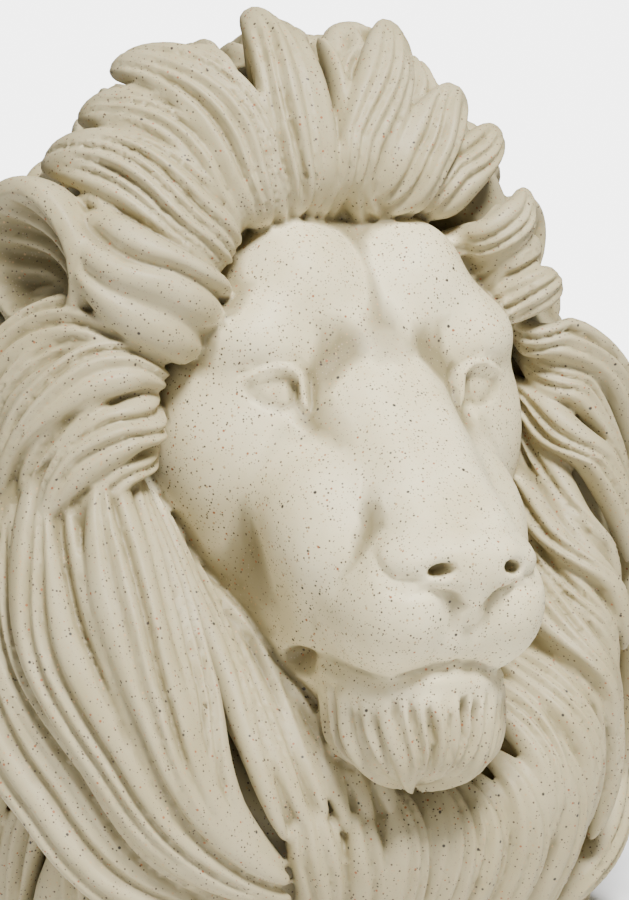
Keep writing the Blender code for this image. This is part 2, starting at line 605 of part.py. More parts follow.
def beard_ball(rings):
    """A sphere drawn out into the beard, with grooves between its strands from the lip down."""
    mesh, ball = sphere_mesh("beard", u_segments=rings * 4, v_segments=rings)
    dice = np.random.default_rng(11)
    t, ring = ring_places(ball)
    phi = np.degrees(np.arctan2(ball[:, 0], ball[:, 1]))
    scallop = 0.09 * np.cos(np.radians(2 * np.abs(phi) - 100)) - 0.06 + 0.04 * np.cos(np.radians(9 * phi))
    down = BEARD_DOWN[0] + (BEARD_DOWN[-1] - BEARD_DOWN[0]) * t[ring]
    cap = np.sqrt(np.clip(1 - (2 * t - 1) ** 6, 0, 1))
    radius = smooth_through(BEARD_DOWN, BEARD_RADII, down) * cap[ring]
    middles = np.linspace(-130, 130, BEARD_STRANDS) + dice.uniform(-2.5, 2.5, BEARD_STRANDS)
    grooves = np.zeros(len(phi))
    for middle in middles:
        start = dice.uniform(-0.02, 0.14)
        fade = np.clip((down - start) / 0.25, 0, 1)
        grooves += dice.uniform(0.5, 1.3) * fade * np.exp(-(((phi - middle) / 3.2) ** 2))
    radius = radius - 2.5 * grooves * cap[ring]
    swung = phi * (1 - 0.12 * np.clip(down, 0, 1)) + 5 * np.sin(4.5 * down + phi / 24) * np.clip(down, 0, 1)
    angle = np.radians(swung)
    depth = BEARD_TOP - BEARD_DROP * (down + scallop * np.clip(down, 0, 1) ** 2)
    forward = BEARD_CENTRE_F + 1.5 * np.clip(down, 0, 1) + radius * np.cos(angle)
    return mesh, np.column_stack([radius * np.sin(angle), forward, depth])


# A cupped ear or curl: its place, half sizes across, up and deep, yaw, pitch and roll, and its hollow.
EARS = {
    "near": ((-61, 8, 23.5), (15, 16.5, 13), (-72, 10, -24), 9.0),
    "far": ((45, 8, 26), (8.5, 10, 11), (30, 5, 15), 5.0),
    "curl": ((50, 9, 14), (6.5, 6, 8), (35, 0, 10), 3.0),
}


# Strands of hair fan out in a bowl from its lower inner corner.
EAR_RIDGE = 1.5
EAR_STRANDS = 34


def ear_points(ball, place, half, facing, hollow):
    """A unit sphere pressed into a cup with a rounded rim, open the way it faces."""
    spread = np.hypot(ball[:, 0], ball[:, 1])
    bowl = (1 - np.clip(spread / 0.82, 0, 1) ** 2.2) * np.clip(4 * ball[:, 2], 0, 1)
    fan = np.arctan2(ball[:, 1] + 1.0, 1.0 - ball[:, 0])
    cup = bowl * (hollow + EAR_RIDGE * np.cos(EAR_STRANDS * fan + 2 * spread))
    deep = ball[:, 2] * half[2] * np.where(ball[:, 2] > 0, 0.3, 1.0) - cup
    yaw, pitch, roll = (math.radians(angle) for angle in facing)
    turned = Matrix.Rotation(yaw, 3, "Z") @ Matrix.Rotation(pitch, 3, "X") @ Matrix.Rotation(roll, 3, "Y")
    cupped = np.column_stack([ball[:, 0] * half[0], -deep, ball[:, 1] * half[1]]) @ np.array(turned).T
    return cupped * np.array((1, -1, 1)) + np.array(place, float)


def ear_balls(detail):
    mesh, ball = sphere_mesh("ears", len(EARS), subdivisions=detail)
    return mesh, np.vstack([ear_points(ball, *ear) for ear in EARS.values()])


# Along the top of the face the hair grows out of the skin without a step.
HAIRLINE_ANGLE = 62.0
HAIRLINE_STATION = 0.07
HAIRLINE_RISE = 2.0
HAIRLINE_REACH = 5.5
HAIRLINE_RUB = 3.0


# Building the cast.
def placed(name, mesh, points):
    """An object from points in parts of the height, with the base at zero height and the face to -Y."""
    world = points * np.array((1.0, -1.0, 1.0))
    world[:, 2] += EYE_LEVEL
    mesh.vertices.foreach_set("co", (world * UNIT).astype(np.float32).ravel())
    mesh.update()
    obj = bpy.data.objects.new(name, mesh)
    obj.data.name = name
    return obj


def applied(obj, kind, **settings):
    modifier = obj.modifiers.new(kind.lower(), kind)
    for key, value in settings.items():
        setattr(modifier, key, value)
    bpy.context.view_layer.objects.active = obj
    bpy.ops.object.modifier_apply(modifier=modifier.name)


def drop_scraps(bm):
    """Leaves only the largest connected body."""
    waiting = set(bm.verts)
    pieces = []
    while waiting:
        stack = [waiting.pop()]
        piece = []
        while stack:
            corner = stack.pop()
            piece.append(corner)
            for edge in corner.link_edges:
                other = edge.other_vert(corner)
                if other in waiting:
                    waiting.remove(other)
                    stack.append(other)
        pieces.append(piece)
    pieces.sort(key=len)
    for piece in pieces[:-1]:
        bmesh.ops.delete(bm, geom=piece, context="VERTS")


def worked_soft(obj, grain):
    """Rubs the roots of the hair down into the skin along the top of the face."""
    angles = np.linspace(-HAIRLINE_ANGLE, HAIRLINE_ANGLE, 61)
    stations = np.full(len(angles), HAIRLINE_STATION)
    line = mane_shell(angles, stations) + HAIRLINE_RISE * surface_normal(mane_shell, angles, stations)
    line *= np.array((1.0, -1.0, 1.0))
    line[:, 2] += EYE_LEVEL
    corners = np.empty(len(obj.data.vertices) * 3)
    obj.data.vertices.foreach_get("co", corners)
    corners = corners.reshape(-1, 3) / UNIT
    nearest = np.full(len(corners), 1e9)
    for place in line:
        nearest = np.minimum(nearest, ((corners - place) ** 2).sum(axis=1))
    weights = np.exp(-nearest / HAIRLINE_REACH**2)
    roots = obj.vertex_groups.new(name="roots")
    for level in range(1, 11):
        chosen = np.flatnonzero(np.round(weights * 10) == level)
        if len(chosen):
            roots.add(chosen.tolist(), level / 10, "REPLACE")
    rounds = max(1, round((HAIRLINE_RUB / grain) ** 2))
    applied(obj, "SMOOTH", factor=0.5, iterations=rounds, vertex_group="roots")
    obj.vertex_groups.clear()


def cut_flat(obj):
    """Cuts the cast off flat at the base and closes it."""
    bm = bmesh.new()
    bm.from_mesh(obj.data)
    geometry = bm.verts[:] + bm.edges[:] + bm.faces[:]
    bmesh.ops.bisect_plane(bm, geom=geometry, plane_co=(0, 0, 0), plane_no=(0, 0, 1), clear_inner=True)
    bmesh.ops.holes_fill(bm, edges=[edge for edge in bm.edges if edge.is_boundary], sides=0)
    bmesh.ops.triangulate(bm, faces=[face for face in bm.faces if len(face.verts) > 3])
    drop_scraps(bm)
    bm.to_mesh(obj.data)
    bm.free()
    obj.data.update()


for old in list(bpy.data.objects):
    bpy.data.objects.remove(old, do_unlink=True)

figurine = bpy.data.collections.new("lion_figurine")
bpy.context.scene.collection.children.link(figurine)
forms = (
    placed("lion_bust", *mane_ball(60, 2.0)),
    placed("head", *head_ball(7)),
    placed("locks", *lock_balls(48, 40)),
    placed("beard", *beard_ball(30)),
    placed("ears", *ear_balls(5)),
)
for form in forms:
    figurine.objects.link(form)
bust = forms[0]
with bpy.context.temp_override(active_object=bust, selected_editable_objects=list(forms)):
    bpy.ops.object.join()

applied(bust, "REMESH", mode="VOXEL", voxel_size=FUSE_GRAIN)
applied(bust, "SMOOTH", factor=0.5, iterations=1)
worked_soft(bust, FUSE_GRAIN / UNIT)
bust.data.calc_loop_triangles()
applied(bust, "DECIMATE", ratio=FACET_COUNT / len(bust.data.loop_triangles))
cut_flat(bust)

resin = bpy.data.materials.new("cast_resin")
resin.use_nodes = True
shader = resin.node_tree.nodes["Principled BSDF"]
shader.inputs["Base Color"].default_value = RESIN_COLOUR
shader.inputs["Roughness"].default_value = RESIN_ROUGHNESS
shader.inputs["Metallic"].default_value = 0.0
bust.data.materials.clear()
bust.data.materials.append(resin)
bust.data.shade_smooth()
bust.data.set_sharp_from_angle(angle=math.radians(50))
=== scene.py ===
"""Cast resin bust of a lion's head with its whole mane, in speckled stone finish, on a pale floor."""
import math

import bmesh
import bpy
import numpy as np
from mathutils import Matrix, Vector


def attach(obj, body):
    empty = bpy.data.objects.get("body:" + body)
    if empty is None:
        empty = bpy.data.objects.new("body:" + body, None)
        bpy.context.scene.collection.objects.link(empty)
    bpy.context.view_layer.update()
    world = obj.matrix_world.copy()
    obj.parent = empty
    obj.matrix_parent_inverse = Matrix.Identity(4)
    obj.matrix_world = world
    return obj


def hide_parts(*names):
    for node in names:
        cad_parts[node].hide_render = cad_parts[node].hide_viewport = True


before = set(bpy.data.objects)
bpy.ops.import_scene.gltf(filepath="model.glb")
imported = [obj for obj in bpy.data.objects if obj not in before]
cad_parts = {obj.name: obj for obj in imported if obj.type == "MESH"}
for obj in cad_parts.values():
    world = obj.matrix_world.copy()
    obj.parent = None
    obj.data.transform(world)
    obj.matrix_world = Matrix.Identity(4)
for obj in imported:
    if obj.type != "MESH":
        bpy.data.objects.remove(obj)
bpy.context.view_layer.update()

# The camera looks at the lion from its right, a little above its eyes, as the photograph does.
VIEW_AZIMUTH = -26.0
VIEW_ELEVATION = 4.0
VIEW_DISTANCE = 0.75
VIEW_TARGET = Vector((0.0021, -0.001, 0.097))
LENS = 150
SENSOR_WIDTH = 36
NEAREST_SEEN = 0.01
turn = math.radians(VIEW_AZIMUTH)
rise = math.radians(VIEW_ELEVATION)
towards_camera = Vector((math.sin(turn) * math.cos(rise), -math.cos(turn) * math.cos(rise), math.sin(rise)))
camera = bpy.data.objects.new("camera", bpy.data.cameras.new("camera"))
camera.data.lens = LENS
camera.data.sensor_width = SENSOR_WIDTH
camera.data.clip_start = NEAREST_SEEN
camera.location = VIEW_TARGET + towards_camera * VIEW_DISTANCE
camera.rotation_euler = (-towards_camera).to_track_quat("-Z", "Y").to_euler()
bpy.context.scene.collection.objects.link(camera)
bpy.context.scene.camera = camera

# The bust is the object's one piece: a head, its mane and beard, modelled by hand and cast together in
# resin. It is set out in parts of its own height, 184 of them from the base to the crest: x to the
# lion's left, f forwards and z up from the line of the eyes. It stands on its flat underside.
BUST_HEIGHT = 0.184
DESIGN_HEIGHT = 184.0
EYE_LEVEL = 112.0
UNIT = BUST_HEIGHT / DESIGN_HEIGHT


# Distance fields for the head.
def smooth_min(a, b, blend):
    share = np.clip(0.5 + 0.5 * (b - a) / blend, 0.0, 1.0)
    return b * (1 - share) + a * share - blend * share * (1 - share)


def smooth_max(a, b, blend):
    return -smooth_min(-a, -b, blend)


def mirrored(points):
    """The points folded onto the lion's left side."""
    return np.column_stack([np.abs(points[:, 0]), points[:, 1], points[:, 2]])


def seen_from(points, centre, pitch=0.0, yaw=0.0, roll=0.0):
    """The points as seen from a form at centre that is pitched nose down, yawed outwards and rolled."""
    matrix = (
        Matrix.Rotation(math.radians(yaw), 3, "Z")
        @ Matrix.Rotation(math.radians(-pitch), 3, "X")
        @ Matrix.Rotation(math.radians(roll), 3, "Y")
    )
    return (points - np.array(centre)) @ np.array(matrix)


def ellipsoid(points, centre, radii, **angles):
    local = seen_from(points, centre, **angles)
    radii = np.array(radii)
    reach = np.linalg.norm(local / radii, axis=1)
    slope = np.linalg.norm(local / (radii * radii), axis=1)
    return reach * (reach - 1.0) / np.maximum(slope, 1e-9)


def rounded_box(points, centre, half, edge, **angles):
    local = np.abs(seen_from(points, centre, **angles)) - (np.array(half) - edge)
    outside = np.linalg.norm(np.maximum(local, 0.0), axis=1)
    return outside + np.minimum(local.max(axis=1), 0.0) - edge


def taper(points, start, end, start_radius, end_radius):
    """A round limb whose radius changes evenly from start to end."""
    start = np.array(start, float)
    run = np.array(end, float) - start
    share = np.clip(((points - start) @ run) / (run @ run), 0.0, 1.0)
    radius = start_radius + (end_radius - start_radius) * share
    return np.linalg.norm(points - start - share[:, None] * run, axis=1) - radius


def distance_to_path(points, path):
    """The distance to the nearest place on a line of straight stretches."""
    nearest = np.full(len(points), 1e9)
    for start, end in zip(path, path[1:]):
        run = end - start
        share = np.clip(((points - start) @ run) / (run @ run), 0.0, 1.0)
        nearest = np.minimum(nearest, np.linalg.norm(points - start - share[:, None] * run, axis=1))
    return nearest


def inside_distance(across, up, outline):
    """The distance into a closed outline, less than zero outside it."""
    outline = np.array(outline, float)
    points = np.column_stack([across, up])
    inside = np.zeros(len(points), bool)
    nearest = np.full(len(points), 1e9)
    for start, end in zip(outline, np.roll(outline, -1, axis=0)):
        run = end - start
        share = np.clip(((points - start) @ run) / (run @ run), 0.0, 1.0)
        nearest = np.minimum(nearest, np.linalg.norm(points - start - share[:, None] * run, axis=1))
        spans = (start[1] > up) != (end[1] > up)
        crossing = start[0] + (up - start[1]) * run[0] / (run[1] or 1e-9)
        inside ^= spans & (across < crossing)
    return np.where(inside, nearest, -nearest)


def head_field(points):
    """The distance to the head's plain form."""
    sides = mirrored(points)
    skull = ellipsoid(points, (0, -2, 0), (35, 34, 34))
    cheeks = ellipsoid(sides, (16.5, 13, -10), (23.2, 22, 28))
    head = smooth_min(skull, cheeks, 8)
    forehead = ellipsoid(points, (0, 12, 9), (31, 22, 22), pitch=40)
    head = smooth_min(head, forehead, 8)
    frontals = ellipsoid(sides, (12.5, 22.5, 19), (10.5, 11, 13), pitch=-38)
    head = smooth_min(head, frontals, 5)
    brows = ellipsoid(sides, (21, 25.5, 9.5), (12, 10, 7), pitch=10, yaw=-28)
    head = smooth_min(head, brows, 7)
    temples = ellipsoid(sides, (21, 6, 13), (13, 13, 17))
    head = smooth_min(head, temples, 6)
    muzzle_sides = ellipsoid(sides, (12, 36, -24), (14, 22, 15), pitch=35, yaw=-12)
    head = smooth_min(head, muzzle_sides, 8)
    bridge = rounded_box(points, (0, 40.5, -13.5), (12, 30, 12.5), 8, pitch=44)
    head = smooth_min(head, bridge, 7)
    muzzle = ellipsoid(points, (0, 42, -39), (21, 25, 17))
    head = smooth_min(head, muzzle, 8)
    jaw = taper(sides, (15, 14, -32), (8, 40, -53), 14, 10)
    head = smooth_min(head, jaw, 8)
    nose_top = rounded_box(points, (0, 59.5, -26.2), (12, 9.5, 6), 5, pitch=24)
    head = smooth_min(head, nose_top, 4)
    nose_tip = rounded_box(points, (0, 66.6, -30.4), (10.4, 8.5, 6.2), 5.5, pitch=8)
    head = smooth_min(head, nose_tip, 3)
    nose_wings = ellipsoid(sides, (10.8, 63.5, -31), (5.2, 8.5, 4.6))
    head = smooth_min(head, nose_wings, 3)
    nose_keel = taper(points, (0, 70, -32), (0, 69.8, -39.5), 5.2, 3.0)
    head = smooth_min(head, nose_keel, 3)
    muzzle_front = ellipsoid(points, (0, 57, -44), (9, 12.6, 9))
    head = smooth_min(head, muzzle_front, 3)
    whisker_pads = ellipsoid(sides, (9.4, 56, -40.3), (11.2, 16, 13), yaw=-3, pitch=-10)
    head = smooth_min(head, whisker_pads, 2.2)
    lower_lip = ellipsoid(points, (0, 48.3, -54), (17.2, 17.0, 8.5))
    head = smooth_min(head, lower_lip, 3)
    throat = ellipsoid(points, (0, 16, -60), (28, 18, 24))
    return smooth_min(head, throat, 6)


# The eye sits on a plane turned outwards. Its opening runs outwards and up from the eye's centre.
EYE_CENTRE = (22.7, 33.8, -0.3)
EYE_TURN = 25.0
EYE_OPENING = (
    (5.4, 0.2),
    (2.4, 1.6),
    (-1.0, 2.6),
    (-3.4, 2.5),
    (-4.7, 1.2),
    (-5.0, -3.4),
    (-2.8, -4.4),
    (1.0, -4.2),
    (4.0, -2.4),
)
LID_DEPTH = 3.6
LID_RISE = 1.1
FOLD_DEPTH = 1.3


def eye_relief(sides):
    """How far the blank eye, its lids and the fold over them stand above the socket."""
    turned = math.radians(EYE_TURN)
    local = sides - np.array(EYE_CENTRE)
    across = local[:, 0] * math.cos(turned) - local[:, 1] * math.sin(turned)
    up = local[:, 2]
    relief = np.zeros(len(sides))
    widest = np.abs(np.array(EYE_OPENING)).max()
    near = (np.hypot(across, up) < 3 * widest) & (sides[:, 1] > 20)
    if not near.any():
        return relief
    across = across[near]
    up = up[near]
    depth_in = inside_distance(across, up, EYE_OPENING)
    upper = np.clip((up - 0.55 * across + 3.0) / 5, 0, 1)
    fade = np.exp(-((depth_in / 1.1) ** 2))
    ball = -LID_DEPTH * np.clip(depth_in / 0.3, 0, 1) * (0.25 + 0.75 * upper) * fade
    lid = LID_RISE * (0.12 + 0.88 * upper) * np.exp(-(((depth_in + 0.9) / 0.8) ** 2))
    fold = -FOLD_DEPTH * upper * np.exp(-(((depth_in + 2.6) / 0.7) ** 2))
    relief[near] = np.where(depth_in > 0, ball, lid + fold)
    return relief


# Lines on each side of the face: how deep they are cut, half their width and their path.
FACE_LINES = {
    "tear_duct": (2.2, 0.65, [(18.2, 35.3, -3.6), (17.3, 36.2, -5.8), (15.7, 38.0, -8.4)]),
    "tear_flap": (-0.35, 0.8, [(20.0, 34.5, -6.2), (18.6, 36.0, -8.5), (17.0, 37.8, -10.2)]),
    "wing_crease": (1.9, 0.7, [(15.2, 60, -28.8), (15.4, 62.5, -31.2), (14.2, 66, -33.4), (11.5, 70, -33.9)]),
    "wing_fold": (1.6, 0.7, [
        (14.8, 64, -34.4), (12, 68.5, -35.6), (8.6, 72, -36.2), (5, 74, -37.4), (1.8, 74, -41),
    ]),
    "wing_back": (0.5, 2.6, [(13.5, 57, -23.5), (15, 56, -27), (15.6, 57, -30.4)]),
    "wing_top": (0.6, 2.0, [(12.5, 64, -27.4), (8.9, 67.5, -25.8), (4.5, 70, -25.8)]),
    "philtrum": (3.6, 0.9, [(0, 73, -42.5), (0, 71, -46), (0, 67, -51.5)]),
    "mouth": (3.4, 1.0, [(0, 64, -49.5), (4.2, 64, -51), (11.4, 60, -53), (17, 54, -53.3), (20.4, 43, -52)]),
    "pad_edge": (0.8, 2.6, [(18.5, 57, -33), (21.5, 51, -37), (22, 47, -43)]),
    "brow_hollow": (2.2, 5.5, [(11, 37, 5.5), (14.5, 35, 8.5)]),
    "frontal_furrow": (1.1, 3.2, [(0, 35, 14), (0, 30, 20), (0, 24, 27)]),
}
NOSTRIL_CENTRE = (7.4, 74.2, -32.2)
NOSTRIL_RADII = (2.5, 6.0, 1.5)
POCKET_CENTRE = (18.8, 38.5, -51.8)
POCKET_RADII = (4.0, 4.8, 2.7)
HEAD_CENTRE = np.array((0.0, 20.0, -20.0))
HEAD_REACH = 90.0


def carved_field(points, lines):
    """The distance to the head with its nostrils, eyes, pockets at the mouth's corners and lines."""
    sides = mirrored(points)
    nostrils = ellipsoid(sides, NOSTRIL_CENTRE, NOSTRIL_RADII, roll=12)
    pockets = ellipsoid(sides, POCKET_CENTRE, POCKET_RADII)
    head = smooth_max(head_field(points), -nostrils, 1.0) - eye_relief(sides)
    head = smooth_max(head, -pockets, 2.0)
    for depth, half_width, path in lines:
        head += depth * np.exp(-((distance_to_path(sides, path) / half_width) ** 2))
    return head


def drawn_in(rays, field, reach, rounds, pace):
    """How far along each ray from the head's centre a field's surface lies."""
    for _ in range(rounds):
        reach = reach - pace * field(HEAD_CENTRE + rays * reach[:, None])
    return reach


def along_rays(points):
    rays = points / np.linalg.norm(points, axis=1)[:, None]
    return rays, np.full(len(rays), HEAD_REACH)


# Meshes whose corners are moved by a rule.
def sphere_mesh(name, copies=1, **shape):
    """A unit sphere, or as many of them as there are copies, and the corners of the first."""
    bm = bmesh.new()
    if "subdivisions" in shape:
        bmesh.ops.create_icosphere(bm, radius=1.0, **shape)
    else:
        bmesh.ops.create_uvsphere(bm, radius=1.0, **shape)
    mesh = bpy.data.meshes.new(name)
    bm.to_mesh(mesh)
    corners = np.empty(len(mesh.vertices) * 3)
    mesh.vertices.foreach_get("co", corners)
    for _ in range(copies - 1):
        bm.from_mesh(mesh)
    bm.to_mesh(mesh)
    bm.free()
    return mesh, corners.reshape(-1, 3)


def head_ball(detail):
    """A sphere drawn in onto the head along rays from inside the skull."""
    mesh, corners = sphere_mesh("head", subdivisions=detail)
    lines = []
    for depth, half_width, path in FACE_LINES.values():
        rays, reach = along_rays(np.array(path, float) - HEAD_CENTRE)
        reach = drawn_in(rays, head_field, reach, 50, 0.85)
        lines.append((depth, half_width, HEAD_CENTRE + rays * reach[:, None]))
    rays, reach = along_rays(corners * np.array((1, -1, 1)))
    reach = drawn_in(rays, head_field, reach, 40, 0.85)
    reach = drawn_in(rays, lambda points: carved_field(points, lines), reach, 10, 0.7)
    return mesh, HEAD_CENTRE + rays * reach[:, None]


def curve_weights(knots, places):
    """Weights of a smooth curve through values at the knots, one row for each place."""
    knots = np.array(knots, float)
    places = np.clip(places, knots[0], knots[-1])
    count = len(knots)
    slopes = np.zeros((count, count))
    for i in range(count):
        before = max(i - 1, 0)
        after = min(i + 1, count - 1)
        slopes[i, after] += 1.0 / (knots[after] - knots[before])
        slopes[i, before] -= 1.0 / (knots[after] - knots[before])
    k = np.clip(np.searchsorted(knots, places, side="right") - 1, 0, count - 2)
    span = knots[k + 1] - knots[k]
    t = (places - knots[k]) / span
    rows = np.arange(len(places))
    weights = np.zeros((len(places), count))
    weights[rows, k] += 2 * t**3 - 3 * t**2 + 1
    weights[rows, k + 1] += -2 * t**3 + 3 * t**2
    weights += ((t**3 - 2 * t**2 + t) * span)[:, None] * slopes[k]
    weights += ((t**3 - t**2) * span)[:, None] * slopes[k + 1]
    return weights


def smooth_through(knots, values, places):
    return curve_weights(knots, places) @ np.array(values, float)


# The mane's shell is a thick collar round the face, closed behind. Its outlines are radii about a point
# on the face's axis, by the angle from straight up, and the same on both sides.
MANE_AXIS_Z = -15.0
MANE_ANGLES = (0, 30, 45, 60, 75, 90, 110, 134, 148, 162, 180)
MANE_OUTER = (80, 75, 67, 62, 68, 71, 78, 95, 111, 114, 112)
MANE_INNER = (43, 43, 41.5, 40, 38, 36.5, 36.5, 40, 42, 44, 45)
MANE_INNER_F = (14, 13, 11, 8, 6, 6, 8, 14, 20, 25, 28)
MANE_CREST_F = (20, 20, 20, 20, 21, 22, 26, 34, 38, 41, 43)
# Stations run from inside the face over its edge, the crest, the widest outline and the back to its middle.
MANE_STATIONS = (-0.25, 0.0, 0.2, 0.5, 0.78, 1.0)
CREST_SHARE = 0.42
BACK_SHARE = 0.85
WIDEST_F = 1.0
BACK_EDGE_F = -38.0
BACK_MIDDLE_F = -52.0


def mane_shell(phi, station):
    """Points of the shell at an angle in degrees, 90 to the lion's left, and a station from 0 to 1."""
    phi = np.asarray(phi, float)
    around = curve_weights(MANE_ANGLES, np.abs((phi + 180.0) % 360.0 - 180.0))
    outer = around @ np.array(MANE_OUTER, float)
    inner = around @ np.array(MANE_INNER, float)
    inner_f = around @ np.array(MANE_INNER_F, float)
    crest_f = around @ np.array(MANE_CREST_F, float)
    level = np.ones(len(outer))
    crest = inner + CREST_SHARE * (outer - inner)
    radii = np.column_stack([0 * level, inner, crest, outer, BACK_SHARE * outer, 0 * level])
    depths = (inner_f, inner_f, crest_f, WIDEST_F * level, BACK_EDGE_F * level, BACK_MIDDLE_F * level)
    along = curve_weights(MANE_STATIONS, np.asarray(station, float))
    radius = (along * radii).sum(axis=1)
    forward = (along * np.column_stack(depths)).sum(axis=1)
    angle = np.radians(phi)
    return np.column_stack([radius * np.sin(angle), forward, MANE_AXIS_Z + radius * np.cos(angle)])


def back_shell(x, z):
    """Points of the shell's back half above the place (x, z) seen from behind."""
    x = np.asarray(x, float)
    z = np.asarray(z, float) - MANE_AXIS_Z
    phi = np.degrees(np.arctan2(x, z))
    outer = smooth_through(MANE_ANGLES, MANE_OUTER, np.abs(phi))
    stations = np.linspace(0.5, 1.0, 60)
    shares = smooth_through(MANE_STATIONS, (0, 0, 0, 1, BACK_SHARE, 0), stations)
    return mane_shell(phi, np.interp(-np.hypot(x, z) / outer, -shares, stations))


def surface_normal(surface, u, v):
    """Outward normals of a surface given by a function of two numbers."""
    if surface is back_shell:
        along_u = surface(u, v + 0.5) - surface(u, v - 0.5)
        along_v = surface(u + 0.5, v) - surface(u - 0.5, v)
    else:
        along_u = surface(u + 0.5, v) - surface(u - 0.5, v)
        along_v = surface(u, v + 0.004) - surface(u, v - 0.004)
    normal = np.cross(along_v, along_u)
    return normal / np.maximum(np.linalg.norm(normal, axis=1), 1e-9)[:, None]


def mane_ball(rings, inset):
    """A sphere drawn onto the shell, sunk by inset so that the locks stand on it."""
    mesh, corners = sphere_mesh("mane", u_segments=rings * 2, v_segments=rings)
    phi = np.degrees(np.arctan2(corners[:, 0], corners[:, 1]))
    station = MANE_STATIONS[0] + (1 - MANE_STATIONS[0]) * np.arccos(np.clip(corners[:, 2], -1, 1)) / math.pi
    normal = surface_normal(mane_shell, phi, np.clip(station, 0.02, 0.97))
    return mesh, mane_shell(phi, station) - normal * inset


